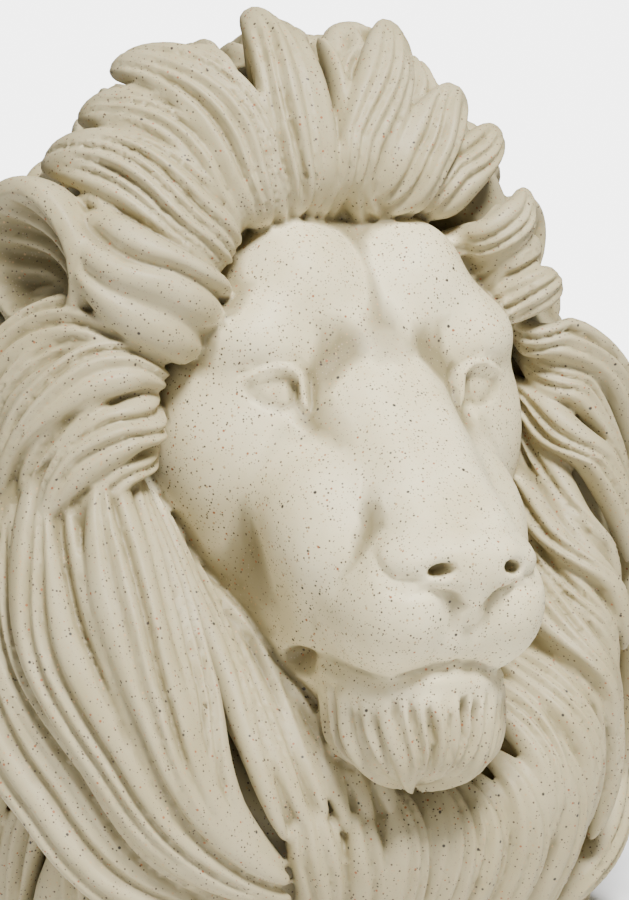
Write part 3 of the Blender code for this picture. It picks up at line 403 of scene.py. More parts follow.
# Locks that frame the face, in fans. A fan gives its number of locks, a lock's half width and height, its
# lift off the shell at root, middle and tip, its strands, the share of its width at root and tip, and the
# spines that the fan runs between, as angles and stations on the shell from root to tip.
FANS = {
    "crest_peak": (1, 5.0, 5.0, (-3, 5, 8), 4, (0.6, 0.9), [
        [(-19, -0.02), (-15, 0.16), (-11, 0.33), (-9, 0.49)],
    ]),
    "crest_ridge": (2, 2.3, 4.5, (-3, 4, 6), 1, (0.7, 0.7), [
        [(-11, 0.0), (-8, 0.16), (-6, 0.32), (-6, 0.46)],
        [(-6, 0.0), (-3.5, 0.16), (-1.5, 0.3), (-1, 0.43)],
    ]),
    "crest_behind": (4, 6.0, 5.0, (0, 2, 3), 4, (0.8, 0.9), [
        [(-22, 0.3), (-20, 0.38), (-19, 0.45), (-19, 0.52)],
        [(14, 0.28), (14, 0.34), (15, 0.4), (15, 0.47)],
    ]),
    "crest_middle": (1, 6.2, 5.2, (-3, 4, 8), 5, (0.6, 0.9), [
        [(-4, -0.02), (0, 0.15), (5, 0.31), (9, 0.45)],
    ]),
    "crest_right": (2, 5.8, 5.0, (-3, 4, 6), 4, (0.6, 0.85), [
        [(5, -0.02), (9, 0.12), (14, 0.25), (19, 0.37)],
        [(15, -0.02), (19, 0.12), (24, 0.25), (28, 0.36)],
    ]),
    "crest_left": (3, 7.0, 5.4, (-3, 5, 8), 6, (0.6, 0.95), [
        [(-19, -0.02), (-21, 0.18), (-22, 0.37), (-27, 0.53)],
        [(-31, -0.03), (-35, 0.16), (-37, 0.35), (-40, 0.54)],
    ]),
    "hairline": (6, 4.0, 3.4, (-3.5, 2.5, 1), 3, (0.4, 0.7), [
        [(-17, -0.05), (-19, 0.04), (-18, 0.14), (-15, 0.25)],
        [(3, -0.05), (-3, 0.04), (-5, 0.14), (-3, 0.23)],
        [(26, -0.05), (16, 0.04), (10, 0.12), (8, 0.2)],
    ]),
    "temple_strands": (6, 3.6, 3.2, (-3, 3, 2), 3, (0.5, 0.7), [
        [(20, -0.04), (28, 0.04), (33, 0.12), (33, 0.22)],
        [(50, -0.03), (54, 0.04), (54, 0.12), (50, 0.21)],
    ]),
    "temple_curls": (3, 4.4, 3.8, (-1, 4, 4), 4, (0.7, 0.8), [
        [(27, 0.06), (32, 0.12), (36, 0.2), (36, 0.3)],
        [(44, 0.06), (48, 0.12), (50, 0.18), (50, 0.25)],
    ]),
    "ear_front": (4, 3.2, 4.0, (-2.5, 4, 8), 2, (0.6, 0.8), [
        [(-33, -0.02), (-36, 0.13), (-39, 0.28), (-42, 0.43)],
        [(-42, 0.0), (-44, 0.12), (-45, 0.26), (-44, 0.42)],
    ]),
    "ear_lobe": (1, 9.0, 5.5, (-3, 7, 9), 3, (0.45, 0.9), [
        [(-53, 0.05), (-53, 0.14), (-52, 0.26), (-47, 0.4)],
    ]),
    "ear_hair": (6, 3.0, 3.2, (-1, 2, 1), 2, (0.6, 0.5), [
        [(-66, 0.2), (-66, 0.3), (-66, 0.42), (-68, 0.54)],
        [(-53, 0.26), (-55, 0.35), (-58, 0.44), (-61, 0.54)],
    ]),
    "ear_root": (6, 5.4, 4.6, (-3, 4, -3), 3, (0.5, 0.4), [
        [(-57, 0.06), (-60, 0.2), (-64, 0.34), (-74, 0.45), (-88, 0.5)],
        [(-62, 0.04), (-68, 0.16), (-77, 0.27), (-88, 0.36), (-100, 0.4)],
        [(-70, 0.03), (-79, 0.1), (-88, 0.17), (-98, 0.25), (-108, 0.31)],
    ]),
    "great_fall": (6, 6.2, 5.0, (-2, 5, 4), 3, (0.6, 0.55), [
        [(-84, 0.45), (-103, 0.45), (-121, 0.42), (-137, 0.36), (-152, 0.31), (-166, 0.28)],
        [(-79, 0.29), (-96, 0.31), (-114, 0.3), (-130, 0.27), (-148, 0.25), (-165, 0.25)],
        [(-74, 0.1), (-92, 0.14), (-110, 0.15), (-126, 0.16), (-144, 0.18), (-163, 0.23)],
    ]),
    "inner_fall": (5, 4.4, 4.0, (-2.5, 4, 3), 3, (0.5, 0.6), [
        [(-84, 0.03), (-102, 0.06), (-120, 0.08), (-140, 0.1), (-161, 0.2)],
        [(-112, -0.02), (-126, 0.0), (-140, 0.01), (-153, 0.06), (-166, 0.17)],
    ]),
    "jaw_fall_left": (5, 3.6, 3.8, (-3, 4, 2), 3, (0.5, 0.7), [
        [(-128, -0.04), (-140, -0.02), (-152, 0.02), (-162, 0.08), (-170, 0.18)],
        [(-150, -0.06), (-159, -0.03), (-167, 0.02), (-173, 0.08), (-178, 0.17)],
    ]),
    "lower_left": (6, 5.0, 4.6, (-2, 2, 1), 3, (0.6, 0.7), [
        [(-122, 0.4), (-129, 0.44), (-136, 0.49), (-142, 0.55)],
        [(-140, 0.33), (-147, 0.37), (-152, 0.43), (-156, 0.51)],
        [(-160, 0.28), (-164, 0.33), (-167, 0.4), (-170, 0.48)],
    ]),
    "under_beard_left": (3, 4.4, 4.0, (-2.5, 2, 1), 3, (0.6, 0.7), [
        [(-156, 0.12), (-163, 0.18), (-169, 0.26), (-170, 0.38)],
        [(-171, 0.1), (-173, 0.17), (-176, 0.26), (-177, 0.38)],
    ]),
    "under_beard_middle": (3, 4.4, 4.2, (-2.5, 3, 2), 3, (0.6, 0.8), [
        [(-178, 0.08), (-179, 0.17), (-180, 0.28), (-182, 0.42)],
        [(-188, 0.08), (-187, 0.17), (-186, 0.28), (-185, 0.42)],
    ]),
    "under_beard_right": (6, 4.2, 4.0, (-2.5, 3, 2), 3, (0.6, 0.7), [
        [(172, 0.08), (168, 0.16), (169, 0.24), (174, 0.34), (176, 0.44)],
        [(146, 0.08), (144, 0.15), (147, 0.22), (154, 0.31), (160, 0.42)],
    ]),
    "jaw_curves_right": (6, 4.2, 4.2, (-3.5, 2, 2), 3, (0.6, 0.6), [
        [(158, -0.03), (153, 0.05), (151, 0.12), (154, 0.19), (160, 0.27)],
        [(128, 0.02), (126, 0.11), (128, 0.19), (135, 0.27), (145, 0.34)],
    ]),
    "cheek_arcs_right": (7, 4.4, 4.4, (-3, 3, 3), 3, (0.6, 0.6), [
        [(54, 0.03), (59, 0.14), (68, 0.24), (80, 0.31), (95, 0.35)],
        [(74, 0.0), (84, 0.07), (95, 0.13), (108, 0.18), (121, 0.25)],
        [(110, -0.02), (120, 0.04), (127, 0.11), (133, 0.18), (140, 0.26)],
    ]),
    "outer_right": (3, 5.6, 4.8, (-2, 2, 0), 4, (0.7, 0.6), [
        [(84, 0.36), (98, 0.35), (112, 0.34), (126, 0.36), (140, 0.42)],
        [(80, 0.5), (96, 0.5), (112, 0.49), (128, 0.5), (142, 0.54)],
    ]),
    "crossing_right": (1, 4.6, 4.6, (-1, 2, 2), 4, (0.6, 0.6), [
        [(128, 0.48), (137, 0.42), (147, 0.37), (156, 0.36)],
    ]),
    "lower_right": (5, 5.0, 4.6, (-2, 2, 1), 3, (0.7, 0.7), [
        [(130, 0.5), (138, 0.52), (146, 0.55), (152, 0.6)],
        [(154, 0.36), (160, 0.42), (165, 0.48), (170, 0.55)],
    ]),
    "outer_left": (3, 5.8, 4.8, (-1, 1, 0), 4, (0.7, 0.6), [
        [(-86, 0.42), (-98, 0.44), (-110, 0.46), (-122, 0.49), (-132, 0.54)],
        [(-74, 0.55), (-90, 0.57), (-106, 0.58), (-122, 0.6), (-136, 0.64)],
    ]),
}

# Plainer locks that follow a rule: side rows, the crown and the back.
OVERLAP_STEP = 1.1
SIDE_STATIONS = (0.6, 0.7)
SIDE_LOCK = (7.0, 5.0, (-1.0, 1.0, 0.0), 4, (0.7, 0.6))
CROWN_COUNT = 14
CROWN_LOCK = (8.5, 4.5, (-3.0, -0.5, -0.5), 4, (0.8, 0.6))
BACK_ROWS = 8
BACK_LOCK = (9.5, 5.0, (-2.0, 0.8, 0.0), 3, (0.8, 0.5))


def fan_spines(count, guides):
    """The spines of a fan, spread evenly from its first guide to its last."""
    guides = np.array(guides, float)
    spines = []
    for place in np.linspace(0, len(guides) - 1, count):
        low = min(int(place), max(len(guides) - 2, 0))
        high = min(low + 1, len(guides) - 1)
        spines.append(guides[low] + (guides[high] - guides[low]) * (place - low))
    return spines


def within_back(x, z):
    """A place on the back, drawn in from the outline."""
    z -= MANE_AXIS_Z
    outer = smooth_through(MANE_ANGLES, MANE_OUTER, np.array([abs(math.degrees(math.atan2(x, z)))]))[0]
    share = min(1.0, 0.9 * outer / max(math.hypot(x, z), 1e-6))
    return x * share, z * share + MANE_AXIS_Z


def side_locks():
    locks = []
    for side in (-1, 1):
        for row, station in enumerate(SIDE_STATIONS):
            for start in (38, 68, 98):
                first = start + 14 * row
                spine = [(side * (first + 14 * k), station + 0.012 * k) for k in range(4)]
                locks.append((mane_shell, spine, *SIDE_LOCK))
    return locks


def crown_locks():
    locks = []
    for k, phi in enumerate(np.linspace(-72, 72, CROWN_COUNT)):
        spine = [(phi + 3 * math.sin(k + j), 0.44 + 0.1 * j) for j in range(4)]
        locks.append((mane_shell, spine, *CROWN_LOCK))
    return locks


def back_locks():
    """Rows that hang down the back, each over the row below."""
    locks = []
    for row in range(BACK_ROWS):
        top = -88 + 21 * row
        columns = 6 + row % 2
        reach = (58 if row < 5 else 44) * columns / 7
        for x in np.linspace(-reach, reach, columns):
            sway = 4 * math.sin(row * 1.7 + x * 0.09)
            spine = []
            for k in range(4):
                spine.append(within_back(x * (1 + 0.02 * k) + sway * math.sin(k * 1.2), top - 14 * k))
            locks.append((back_shell, spine, *BACK_LOCK))
    return locks


def all_locks():
    """Every lock of the mane. Neighbours in a fan stand high and low in turn."""
    locks = []
    for count, half_width, height, lift, strands, ends, guides in FANS.values():
        for k, spine in enumerate(fan_spines(count, guides)):
            step = OVERLAP_STEP * (-1) ** k
            lifts = tuple(share + step for share in lift)
            locks.append((mane_shell, spine, half_width * (1 + 0.08 * step), height, lifts, strands, ends))
    return locks + side_locks() + crown_locks() + back_locks()


def ring_places(ball):
    """How far along a ball's axis its rings are, and each corner's ring."""
    t = np.arccos(np.clip(ball[:, 2], -1, 1)) / math.pi
    return np.unique(np.round(t, 5), return_inverse=True)


def strand_cuts(strands, dice):
    """Where the grooves between a lock's strands lie from side to side, half their width and their depth."""
    widths = dice.uniform(0.7, 1.4, strands)
    middles = -1 + 2 * np.cumsum(widths)[:-1] / widths.sum()
    return [(middle, 0.26 * 2 / strands, dice.uniform(0.6, 1.25)) for middle in middles]


def lock_points(ball, surface, spine, half_width, height, lift, strands, ends, dice):
    """A unit sphere drawn out into one lock along its spine, with grooves between its strands."""
    t, ring = ring_places(ball)
    knots = np.linspace(0, 1, len(spine))
    spine = np.array(spine, float)
    place = curve_weights(knots, t) @ spine
    ahead = curve_weights(knots, np.clip(t + 0.01, 0, 1)) @ spine
    behind = curve_weights(knots, np.clip(t - 0.01, 0, 1)) @ spine
    normal = surface_normal(surface, place[:, 0], place[:, 1])
    tangent = surface(ahead[:, 0], ahead[:, 1]) - surface(behind[:, 0], behind[:, 1])
    tangent -= (tangent * normal).sum(axis=1)[:, None] * normal
    tangent /= np.maximum(np.linalg.norm(tangent, axis=1), 1e-9)[:, None]
    across = np.cross(normal, tangent)
    root, middle, tip = lift
    raised = root * (1 - t) * (1 - 2 * t) + 4 * middle * t * (1 - t) + tip * t * (2 * t - 1)
    centre = surface(place[:, 0], place[:, 1]) + normal * raised[:, None]
    cap = np.where(t < 0.5, np.sin(math.pi * t) ** 0.85, (1 - np.abs(2 * t - 1) ** 3.2) ** 0.5)
    belly = smooth_through((0, 0.4, 1), (ends[0], 1.0, ends[1]), t)
    sway = 0.3 * dice.uniform(-1, 1) * (2 * t - 1) + 0.24 * np.sin(math.tau * (1.3 * t + dice.uniform(0, 1)))
    lean = dice.uniform(-0.22, 0.22) * half_width

    # Three quarters of a ring's corners lie on the upper side, which shows.
    around = np.arctan2(-ball[:, 0], ball[:, 1])
    upper = np.abs(around) < 0.75 * math.pi
    around = np.where(upper, around / 1.5, np.sign(around) * (2 * np.abs(around) - math.pi))
    side = -np.sin(around)
    upward = np.cos(around)
    grooves = np.zeros(len(side))
    for groove, width, depth in strand_cuts(strands, dice):
        start = dice.uniform(-0.1, 0.1)
        stop = dice.uniform(0.85, 1.1)
        fade = np.clip((t - start) / 0.15, 0, 1) * np.clip((stop - t) / 0.15, 0, 1)
        grooves += depth * fade[ring] * np.exp(-(((side - groove) / width) ** 2))
    rise = height * np.where(upward > 0, np.abs(upward) ** 0.75, 0.8 * upward)
    rise -= np.where(upward > 0, grooves * min(2.5, 0.5 * height), 0)
    rise = (rise + lean * side) * cap[ring]
    spread = half_width * (belly * cap)[ring] * (side + (1 - side**2) * sway[ring])
    return centre[ring] + across[ring] * spread[:, None] + normal[ring] * rise[:, None]


def lock_balls(around, along):
    locks = all_locks()
    mesh, ball = sphere_mesh("locks", len(locks), u_segments=around, v_segments=along)
    dice = np.random.default_rng(7)
    return mesh, np.vstack([lock_points(ball, *lock, dice) for lock in locks])


# The beard hangs from the lower lip: shares of the way down, its radii there and its strands.
BEARD_TOP = -54.5
BEARD_DROP = 20.3
BEARD_CENTRE_F = 47.0
BEARD_DOWN = (-0.5, 0.0, 0.3, 0.6, 0.85, 1.0, 1.08)
BEARD_RADII = (4, 16.8, 18.0, 17.4, 15.0, 11.0, 2)
BEARD_STRANDS = 24


def beard_ball(rings):
    """A sphere drawn out into the beard, with grooves between its strands from the lip down."""
    mesh, ball = sphere_mesh("beard", u_segments=rings * 4, v_segments=rings)
    dice = np.random.default_rng(11)
    t, ring = ring_places(ball)
    phi = np.degrees(np.arctan2(ball[:, 0], ball[:, 1]))
    scallop = 0.09 * np.cos(np.radians(2 * np.abs(phi) - 100)) - 0.06 + 0.04 * np.cos(np.radians(9 * phi))
    down = BEARD_DOWN[0] + (BEARD_DOWN[-1] - BEARD_DOWN[0]) * t[ring]
    cap = np.sqrt(np.clip(1 - (2 * t - 1) ** 6, 0, 1))
    radius = smooth_through(BEARD_DOWN, BEARD_RADII, down) * cap[ring]
    middles = np.linspace(-130, 130, BEARD_STRANDS) + dice.uniform(-2.5, 2.5, BEARD_STRANDS)
    grooves = np.zeros(len(phi))
    for middle in middles:
        start = dice.uniform(-0.02, 0.14)
        fade = np.clip((down - start) / 0.25, 0, 1)
        grooves += dice.uniform(0.5, 1.3) * fade * np.exp(-(((phi - middle) / 3.2) ** 2))
    radius = radius - 3.2 * grooves * cap[ring]
    swung = phi * (1 - 0.12 * np.clip(down, 0, 1)) + 5 * np.sin(4.5 * down + phi / 24) * np.clip(down, 0, 1)
    angle = np.radians(swung)
    depth = BEARD_TOP - BEARD_DROP * (down + scallop * np.clip(down, 0, 1) ** 2)
    forward = BEARD_CENTRE_F + 1.5 * np.clip(down, 0, 1) + radius * np.cos(angle)
    return mesh, np.column_stack([radius * np.sin(angle), forward, depth])


# A cupped ear or curl: its place, half sizes across, up and deep, yaw, pitch and roll, and its hollow.
EARS = {
    "near": ((-61, 8, 23.5), (15, 16.5, 13), (-72, 10, -24), 9.0),
    "far": ((45, 8, 26), (8.5, 10, 11), (30, 5, 15), 5.0),
    "curl": ((50, 9, 14), (6.5, 6, 8), (35, 0, 10), 3.0),
}


# Strands of hair fan out in a bowl from its lower inner corner.
EAR_RIDGE = 1.5
EAR_STRANDS = 34


def ear_points(ball, place, half, facing, hollow):
    """A unit sphere pressed into a cup with a rounded rim, open the way it faces."""
    spread = np.hypot(ball[:, 0], ball[:, 1])
    bowl = (1 - np.clip(spread / 0.82, 0, 1) ** 2.2) * np.clip(4 * ball[:, 2], 0, 1)
    fan = np.arctan2(ball[:, 1] + 1.0, 1.0 - ball[:, 0])
    cup = bowl * (hollow + EAR_RIDGE * np.cos(EAR_STRANDS * fan + 2 * spread))
    deep = ball[:, 2] * half[2] * np.where(ball[:, 2] > 0, 0.3, 1.0) - cup
    yaw, pitch, roll = (math.radians(angle) for angle in facing)
    turned = Matrix.Rotation(yaw, 3, "Z") @ Matrix.Rotation(pitch, 3, "X") @ Matrix.Rotation(roll, 3, "Y")
    cupped = np.column_stack([ball[:, 0] * half[0], -deep, ball[:, 1] * half[1]]) @ np.array(turned).T
    return cupped * np.array((1, -1, 1)) + np.array(place, float)


def ear_balls(detail):
    mesh, ball = sphere_mesh("ears", len(EARS), subdivisions=detail)
    return mesh, np.vstack([ear_points(ball, *ear) for ear in EARS.values()])


# Along the top of the face the hair grows out of the skin without a step.
HAIRLINE_ANGLE = 62.0
HAIRLINE_STATION = 0.07
HAIRLINE_RISE = 2.0
HAIRLINE_REACH = 5.5
HAIRLINE_RUB = 3.0
HAIRLINE_SAMPLES = 61
RUB_LEVELS = 10
RUB_FACTOR = 0.5


# Building the cast.
def placed(name, mesh, points):
    """An object from points in parts of the height, with the base at zero height and the face to -Y."""
    world = points * np.array((1.0, -1.0, 1.0))
    world[:, 2] += EYE_LEVEL
    mesh.vertices.foreach_set("co", (world * UNIT).astype(np.float32).ravel())
    mesh.update()
    obj = bpy.data.objects.new(name, mesh)
    obj.data.name = name
    return obj


def applied(obj, kind, **settings):
    modifier = obj.modifiers.new(kind.lower(), kind)
    for key, value in settings.items():
        setattr(modifier, key, value)
    bpy.context.view_layer.objects.active = obj
    bpy.ops.object.modifier_apply(modifier=modifier.name)


def drop_scraps(bm):
    """Leaves only the largest connected body."""
    waiting = set(bm.verts)
    pieces = []
    while waiting:
        stack = [waiting.pop()]
        piece = []
        while stack:
            corner = stack.pop()
            piece.append(corner)
            for edge in corner.link_edges:
                other = edge.other_vert(corner)
                if other in waiting:
                    waiting.remove(other)
                    stack.append(other)
        pieces.append(piece)
    pieces.sort(key=len)
    for piece in pieces[:-1]:
        bmesh.ops.delete(bm, geom=piece, context="VERTS")


def worked_soft(obj, grain):
    """Rubs the roots of the hair down into the skin along the top of the face."""
    angles = np.linspace(-HAIRLINE_ANGLE, HAIRLINE_ANGLE, HAIRLINE_SAMPLES)
    stations = np.full(len(angles), HAIRLINE_STATION)
    line = mane_shell(angles, stations) + HAIRLINE_RISE * surface_normal(mane_shell, angles, stations)
    line *= np.array((1.0, -1.0, 1.0))
    line[:, 2] += EYE_LEVEL
    corners = np.empty(len(obj.data.vertices) * 3)
    obj.data.vertices.foreach_get("co", corners)
    corners = corners.reshape(-1, 3) / UNIT
    nearest = np.full(len(corners), 1e9)
    for place in line:
        nearest = np.minimum(nearest, ((corners - place) ** 2).sum(axis=1))
    weights = np.exp(-nearest / HAIRLINE_REACH**2)
    roots = obj.vertex_groups.new(name="roots")
    for level in range(1, RUB_LEVELS + 1):
        chosen = np.flatnonzero(np.round(weights * RUB_LEVELS) == level)
        if len(chosen):
            roots.add(chosen.tolist(), level / RUB_LEVELS, "REPLACE")
    rounds = max(1, round((HAIRLINE_RUB / grain) ** 2))
    applied(obj, "SMOOTH", factor=RUB_FACTOR, iterations=rounds, vertex_group="roots")
    obj.vertex_groups.clear()


def cut_flat(obj):
    """Cuts the cast off flat at the base and closes it."""
    bm = bmesh.new()
    bm.from_mesh(obj.data)
    geometry = bm.verts[:] + bm.edges[:] + bm.faces[:]
    bmesh.ops.bisect_plane(bm, geom=geometry, plane_co=(0, 0, 0), plane_no=(0, 0, 1), clear_inner=True)
    bmesh.ops.holes_fill(bm, edges=[edge for edge in bm.edges if edge.is_boundary], sides=0)
    bmesh.ops.triangulate(bm, faces=[face for face in bm.faces if len(face.verts) > 3])
    drop_scraps(bm)
    bm.to_mesh(obj.data)
    bm.free()
    obj.data.update()


# The forms are fused at a fine grain, as clay is worked together, and thinned where they are flat.
# FINE_FACETS counts the facets before the cut takes away what lies under the base.
FUSE_GRAIN = 0.5 * UNIT
FINE_FACETS = 208000
SHELL_INSET = 2.0
SETTLING = 0.3

forms = (
    placed("lion_bust_cast", *mane_ball(rings=90, inset=SHELL_INSET)),
    placed("head", *head_ball(detail=8)),
    placed("locks", *lock_balls(around=72, along=96)),
    placed("beard", *beard_ball(rings=90)),
    placed("ears", *ear_balls(detail=6)),
)
for form in forms:
    bpy.context.scene.collection.objects.link(form)
bust = forms[0]
with bpy.context.temp_override(active_object=bust, selected_editable_objects=list(forms)):
    bpy.ops.object.join()
applied(bust, "REMESH", mode="VOXEL", voxel_size=FUSE_GRAIN)
applied(bust, "SMOOTH", factor=SETTLING, iterations=1)
worked_soft(bust, FUSE_GRAIN / UNIT)

# The back half is plainer: it is rubbed smooth, which leaves the fine facets to the face.
BEHIND = 0.004
BEHIND_ROUNDS = 6
corners = np.empty(len(bust.data.vertices) * 3)
bust.data.vertices.foreach_get("co", corners)
behind = bust.vertex_groups.new(name="behind")
behind.add(np.flatnonzero(corners.reshape(-1, 3)[:, 1] > BEHIND).tolist(), 1.0, "REPLACE")
applied(bust, "SMOOTH", factor=RUB_FACTOR, iterations=BEHIND_ROUNDS, vertex_group="behind")
bust.vertex_groups.clear()


def mesh_arrays(mesh):
    """The corners, their normals and the edges of a mesh."""
    corners = np.empty(len(mesh.vertices) * 3)
    mesh.vertices.foreach_get("co", corners)
    normals = np.empty(len(mesh.vertices) * 3)
    mesh.vertices.foreach_get("normal", normals)
    edges = np.empty(len(mesh.edges) * 2, np.int64)
    mesh.edges.foreach_get("vertices", edges)
    return corners.reshape(-1, 3), normals.reshape(-1, 3), edges.reshape(-1, 2)


def spread_out(values, edges, rounds):
    """Each corner's value mixed with its neighbours', over and over."""
    count = np.bincount(edges.ravel(), minlength=len(values)).astype(float)
    for _ in range(rounds):
        total = np.zeros_like(values)
        for column in range(values.shape[1]):
            total[:, column] += np.bincount(edges[:, 0], values[edges[:, 1], column], len(values))
            total[:, column] += np.bincount(edges[:, 1], values[edges[:, 0], column], len(values))
        values = total / count[:, None]
    return values


bust.data.calc_loop_triangles()
applied(bust, "DECIMATE", ratio=FINE_FACETS / len(bust.data.loop_triangles))
cut_flat(bust)
bust.data.shade_smooth()

# How deep each corner lies in a hollow of the carving. The resin's colour is darkened by it as painted shade,
# where shade falls in the hollows.
HOLLOW_DEPTH = 0.0012
HOLLOW_ROUNDS = 14
corners, normals, edges = mesh_arrays(bust.data)
blurred = spread_out(corners, edges, HOLLOW_ROUNDS)
hollow = np.clip(((blurred - corners) * normals).sum(axis=1) / HOLLOW_DEPTH, -1, 1)
hollow = spread_out(hollow[:, None], edges, 1)[:, 0]
layer = bust.data.attributes.new("hollow", "FLOAT", "POINT")
layer.data.foreach_set("value", (0.5 + 0.5 * hollow).astype(np.float32))

# The hair is darkened all over more than the skin, as painted shade for the shadows between its strands. It
# starts a little outside the head's form.
HAIR_START = 0.8
HAIR_FULL = 3.5
design = corners / UNIT * np.array((1, -1, 1)) - np.array((0, 0, EYE_LEVEL))
hair = np.clip((head_field(design) - HAIR_START) / (HAIR_FULL - HAIR_START), 0, 1)
layer = bust.data.attributes.new("hair", "FLOAT", "POINT")
layer.data.foreach_set("value", hair.astype(np.float32))


def node(tree, kind, **sockets):
    made = tree.nodes.new(kind)
    for name, value in sockets.items():
        made.inputs[name].default_value = value
    return made


def mixed(tree, share, under, over):
    """The colour over another by a share, each a colour or a socket."""
    mix = tree.nodes.new("ShaderNodeMix")
    mix.data_type = "RGBA"
    for place, value in ((0, share), (6, under), (7, over)):
        if isinstance(value, bpy.types.NodeSocket):
            tree.links.new(value, mix.inputs[place])
        else:
            mix.inputs[place].default_value = value
    return mix.outputs[2]


def ramped(tree, value, stops):
    """A value run through straight steps of place and level."""
    ramp = tree.nodes.new("ShaderNodeValToRGB")
    tree.links.new(value, ramp.inputs["Fac"])
    while len(ramp.color_ramp.elements) < len(stops):
        ramp.color_ramp.elements.new(0.5)
    for element, (place, level) in zip(ramp.color_ramp.elements, stops):
        element.position = place
        element.color = (level, level, level, 1)
    return ramp.outputs["Color"]


FLECK_SHARPNESS = 14.0


def flecks(tree, coordinates, spacing, radius, share):
    """Round flecks set through the resin at random, as a share from 0 to 1."""
    cells = node(tree, "ShaderNodeTexVoronoi", Scale=1 / spacing, Randomness=1.0)
    tree.links.new(coordinates, cells.inputs["Vector"])
    size = tree.nodes.new("ShaderNodeSeparateColor")
    tree.links.new(cells.outputs["Color"], size.inputs["Color"])
    chosen = tree.nodes.new("ShaderNodeMath")
    chosen.operation = "MULTIPLY_ADD"
    tree.links.new(size.outputs["Red"], chosen.inputs[0])
    chosen.inputs[1].default_value = radius / spacing / share
    chosen.inputs[2].default_value = radius / spacing * (1 - 1 / share)
    gap = tree.nodes.new("ShaderNodeMath")
    gap.operation = "SUBTRACT"
    tree.links.new(chosen.outputs[0], gap.inputs[0])
    tree.links.new(cells.outputs["Distance"], gap.inputs[1])
    edge = tree.nodes.new("ShaderNodeMath")
    edge.operation = "MULTIPLY"
    edge.use_clamp = True
    tree.links.new(gap.outputs[0], edge.inputs[0])
    edge.inputs[1].default_value = FLECK_SHARPNESS
    return edge.outputs[0]


# The resin is cream, with brown, rust and ochre flecks of crushed stone and a dull satin surface. Flecks
# are given by colour, spacing, radius and the share of places that hold one.
CREAM = (0.560, 0.485, 0.285, 1)
PALE_CREAM = (0.650, 0.575, 0.370, 1)
# Painted shade: the dark colour below darkens the hollows of the carving and the hair.
PAINTED_SHADE = (0.185, 0.150, 0.070, 1)
# Painted shade over the hair: the share of the dark colour it takes all over.
HAIR_PAINTED_SHADE = 0.58
# Painted shade in the hollows: how much of the dark colour they take, by their depth.
HOLLOW_PAINTED_SHADE = ((0.48, 0.0), (0.56, 0.26), (0.68, 0.62), (0.85, 0.90))
CLOUD_STEPS = ((0.35, 0.0), (0.65, 1.0))
FLECKS = (
    ((0.300, 0.240, 0.150, 1), 0.00055, 0.00020, 0.70),
    ((0.400, 0.270, 0.130, 1), 0.0011, 0.00030, 0.55),
    ((0.280, 0.100, 0.040, 1), 0.0013, 0.00032, 0.50),
    ((0.085, 0.060, 0.040, 1), 0.00068, 0.00025, 0.62),
    ((0.040, 0.032, 0.026, 1), 0.0021, 0.00042, 0.50),
)
SURFACE = {
    "Roughness": 0.55,
    "Specular IOR Level": 0.32,
    "Subsurface Weight": 0.06,
    "Subsurface Scale": 0.002,
}
resin = bpy.data.materials.new("speckled_resin")
resin.use_nodes = True
tree = resin.node_tree
shader = tree.nodes["Principled BSDF"]
place = tree.nodes.new("ShaderNodeTexCoord").outputs["Object"]
cloud = node(tree, "ShaderNodeTexNoise", Scale=70.0, Detail=3.0)
tree.links.new(place, cloud.inputs["Vector"])
colour = mixed(tree, ramped(tree, cloud.outputs["Fac"], CLOUD_STEPS), CREAM, PALE_CREAM)
depth = tree.nodes.new("ShaderNodeAttribute")
depth.attribute_name = "hollow"
strands = tree.nodes.new("ShaderNodeAttribute")
strands.attribute_name = "hair"
# Painted shade: the hair is darkened all over.
colour = mixed(tree, ramped(tree, strands.outputs["Fac"], ((0.0, 0.0), (1.0, HAIR_PAINTED_SHADE))), colour, PAINTED_SHADE)
# Painted shade: the hollows of the carving are darkened.
colour = mixed(tree, ramped(tree, depth.outputs["Fac"], HOLLOW_PAINTED_SHADE), colour, PAINTED_SHADE)
for tint, spacing, radius, share in FLECKS:
    colour = mixed(tree, flecks(tree, place, spacing, radius, share), colour, tint)
tree.links.new(colour, shader.inputs["Base Color"])
for name, value in SURFACE.items():
    shader.inputs[name].default_value = value
grain = node(tree, "ShaderNodeTexNoise", Scale=1400.0, Detail=2.0)
tree.links.new(place, grain.inputs["Vector"])
bump = node(tree, "ShaderNodeBump", Strength=0.08, Distance=0.0002)
tree.links.new(grain.outputs["Fac"], bump.inputs["Height"])
tree.links.new(bump.outputs["Normal"], shader.inputs["Normal"])
bust.data.materials.clear()
bust.data.materials.append(resin)
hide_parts("lion_bust")
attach(bust, "root")

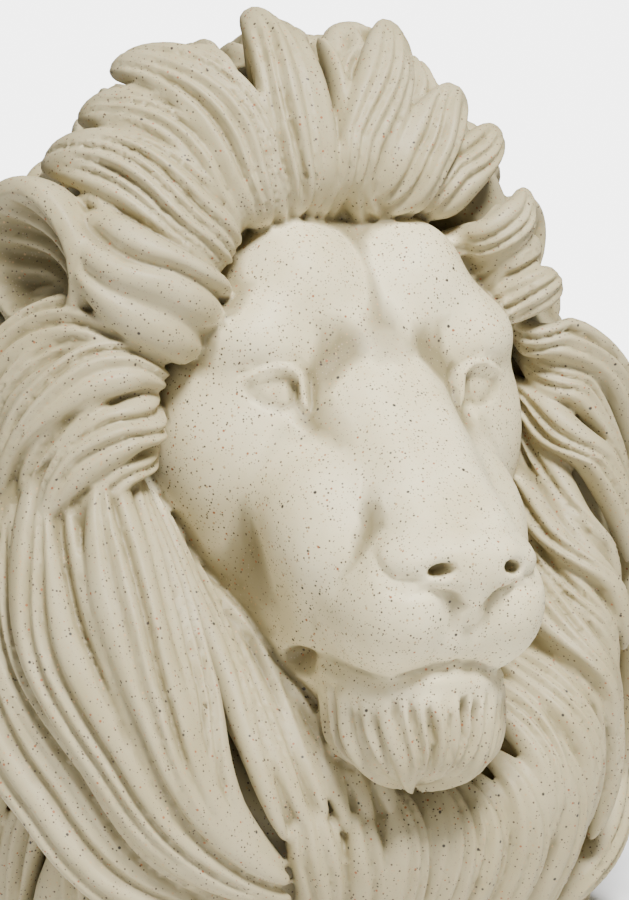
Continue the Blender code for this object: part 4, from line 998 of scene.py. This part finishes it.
# The floor is a plain pale round board under the bust, and isn't part of it.
FLOOR_RADIUS = 0.42
FLOOR_SIDES = 128
PAPER = {"Base Color": (0.9, 0.9, 0.9, 1), "Roughness": 0.9}
floor_mesh = bpy.data.meshes.new("floor")
bm = bmesh.new()
bmesh.ops.create_circle(bm, cap_ends=True, segments=FLOOR_SIDES, radius=FLOOR_RADIUS)
bm.to_mesh(floor_mesh)
bm.free()
floor = bpy.data.objects.new("floor", floor_mesh)
bpy.context.scene.collection.objects.link(floor)
paper = bpy.data.materials.new("pale_floor")
paper.use_nodes = True
for name, value in PAPER.items():
    paper.node_tree.nodes["Principled BSDF"].inputs[name].default_value = value
floor_mesh.materials.append(paper)

# Soft boxes: the main one high in front and a little to the right, a wide weak one on the left. The
# surround is white and dim, with a bright plain backdrop.
WHITE = (1, 1, 1, 1)
right = Vector((math.cos(turn), math.sin(turn), 0))
up = Vector((0, 0, 1))
LIGHTS = (
    ("main", towards_camera * 0.62 + right * 0.20 + up * 0.78, 0.26, 34.0),
    ("fill", towards_camera * 0.80 - right * 0.90 + up * 0.10, 0.90, 1.5),
)
SURROUND = 0.17
BACKDROP = 5.0
for name, offset, size, power in LIGHTS:
    lamp = bpy.data.objects.new(name, bpy.data.lights.new(name, "AREA"))
    lamp.data.size = size
    lamp.data.energy = power
    lamp.location = VIEW_TARGET + offset
    lamp.rotation_euler = offset.to_track_quat("Z", "Y").to_euler()
    bpy.context.scene.collection.objects.link(lamp)
world = bpy.data.worlds.new("white")
world.use_nodes = True
surround = world.node_tree.nodes["Background"]
surround.inputs["Color"].default_value = WHITE
surround.inputs["Strength"].default_value = SURROUND
backdrop = world.node_tree.nodes.new("ShaderNodeBackground")
backdrop.inputs["Color"].default_value = WHITE
backdrop.inputs["Strength"].default_value = BACKDROP
path = world.node_tree.nodes.new("ShaderNodeLightPath")
either = world.node_tree.nodes.new("ShaderNodeMixShader")
links = world.node_tree.links
links.new(path.outputs["Is Camera Ray"], either.inputs["Fac"])
links.new(surround.outputs["Background"], either.inputs[1])
links.new(backdrop.outputs["Background"], either.inputs[2])
links.new(either.outputs["Shader"], world.node_tree.nodes["World Output"].inputs["Surface"])
bpy.context.scene.world = world
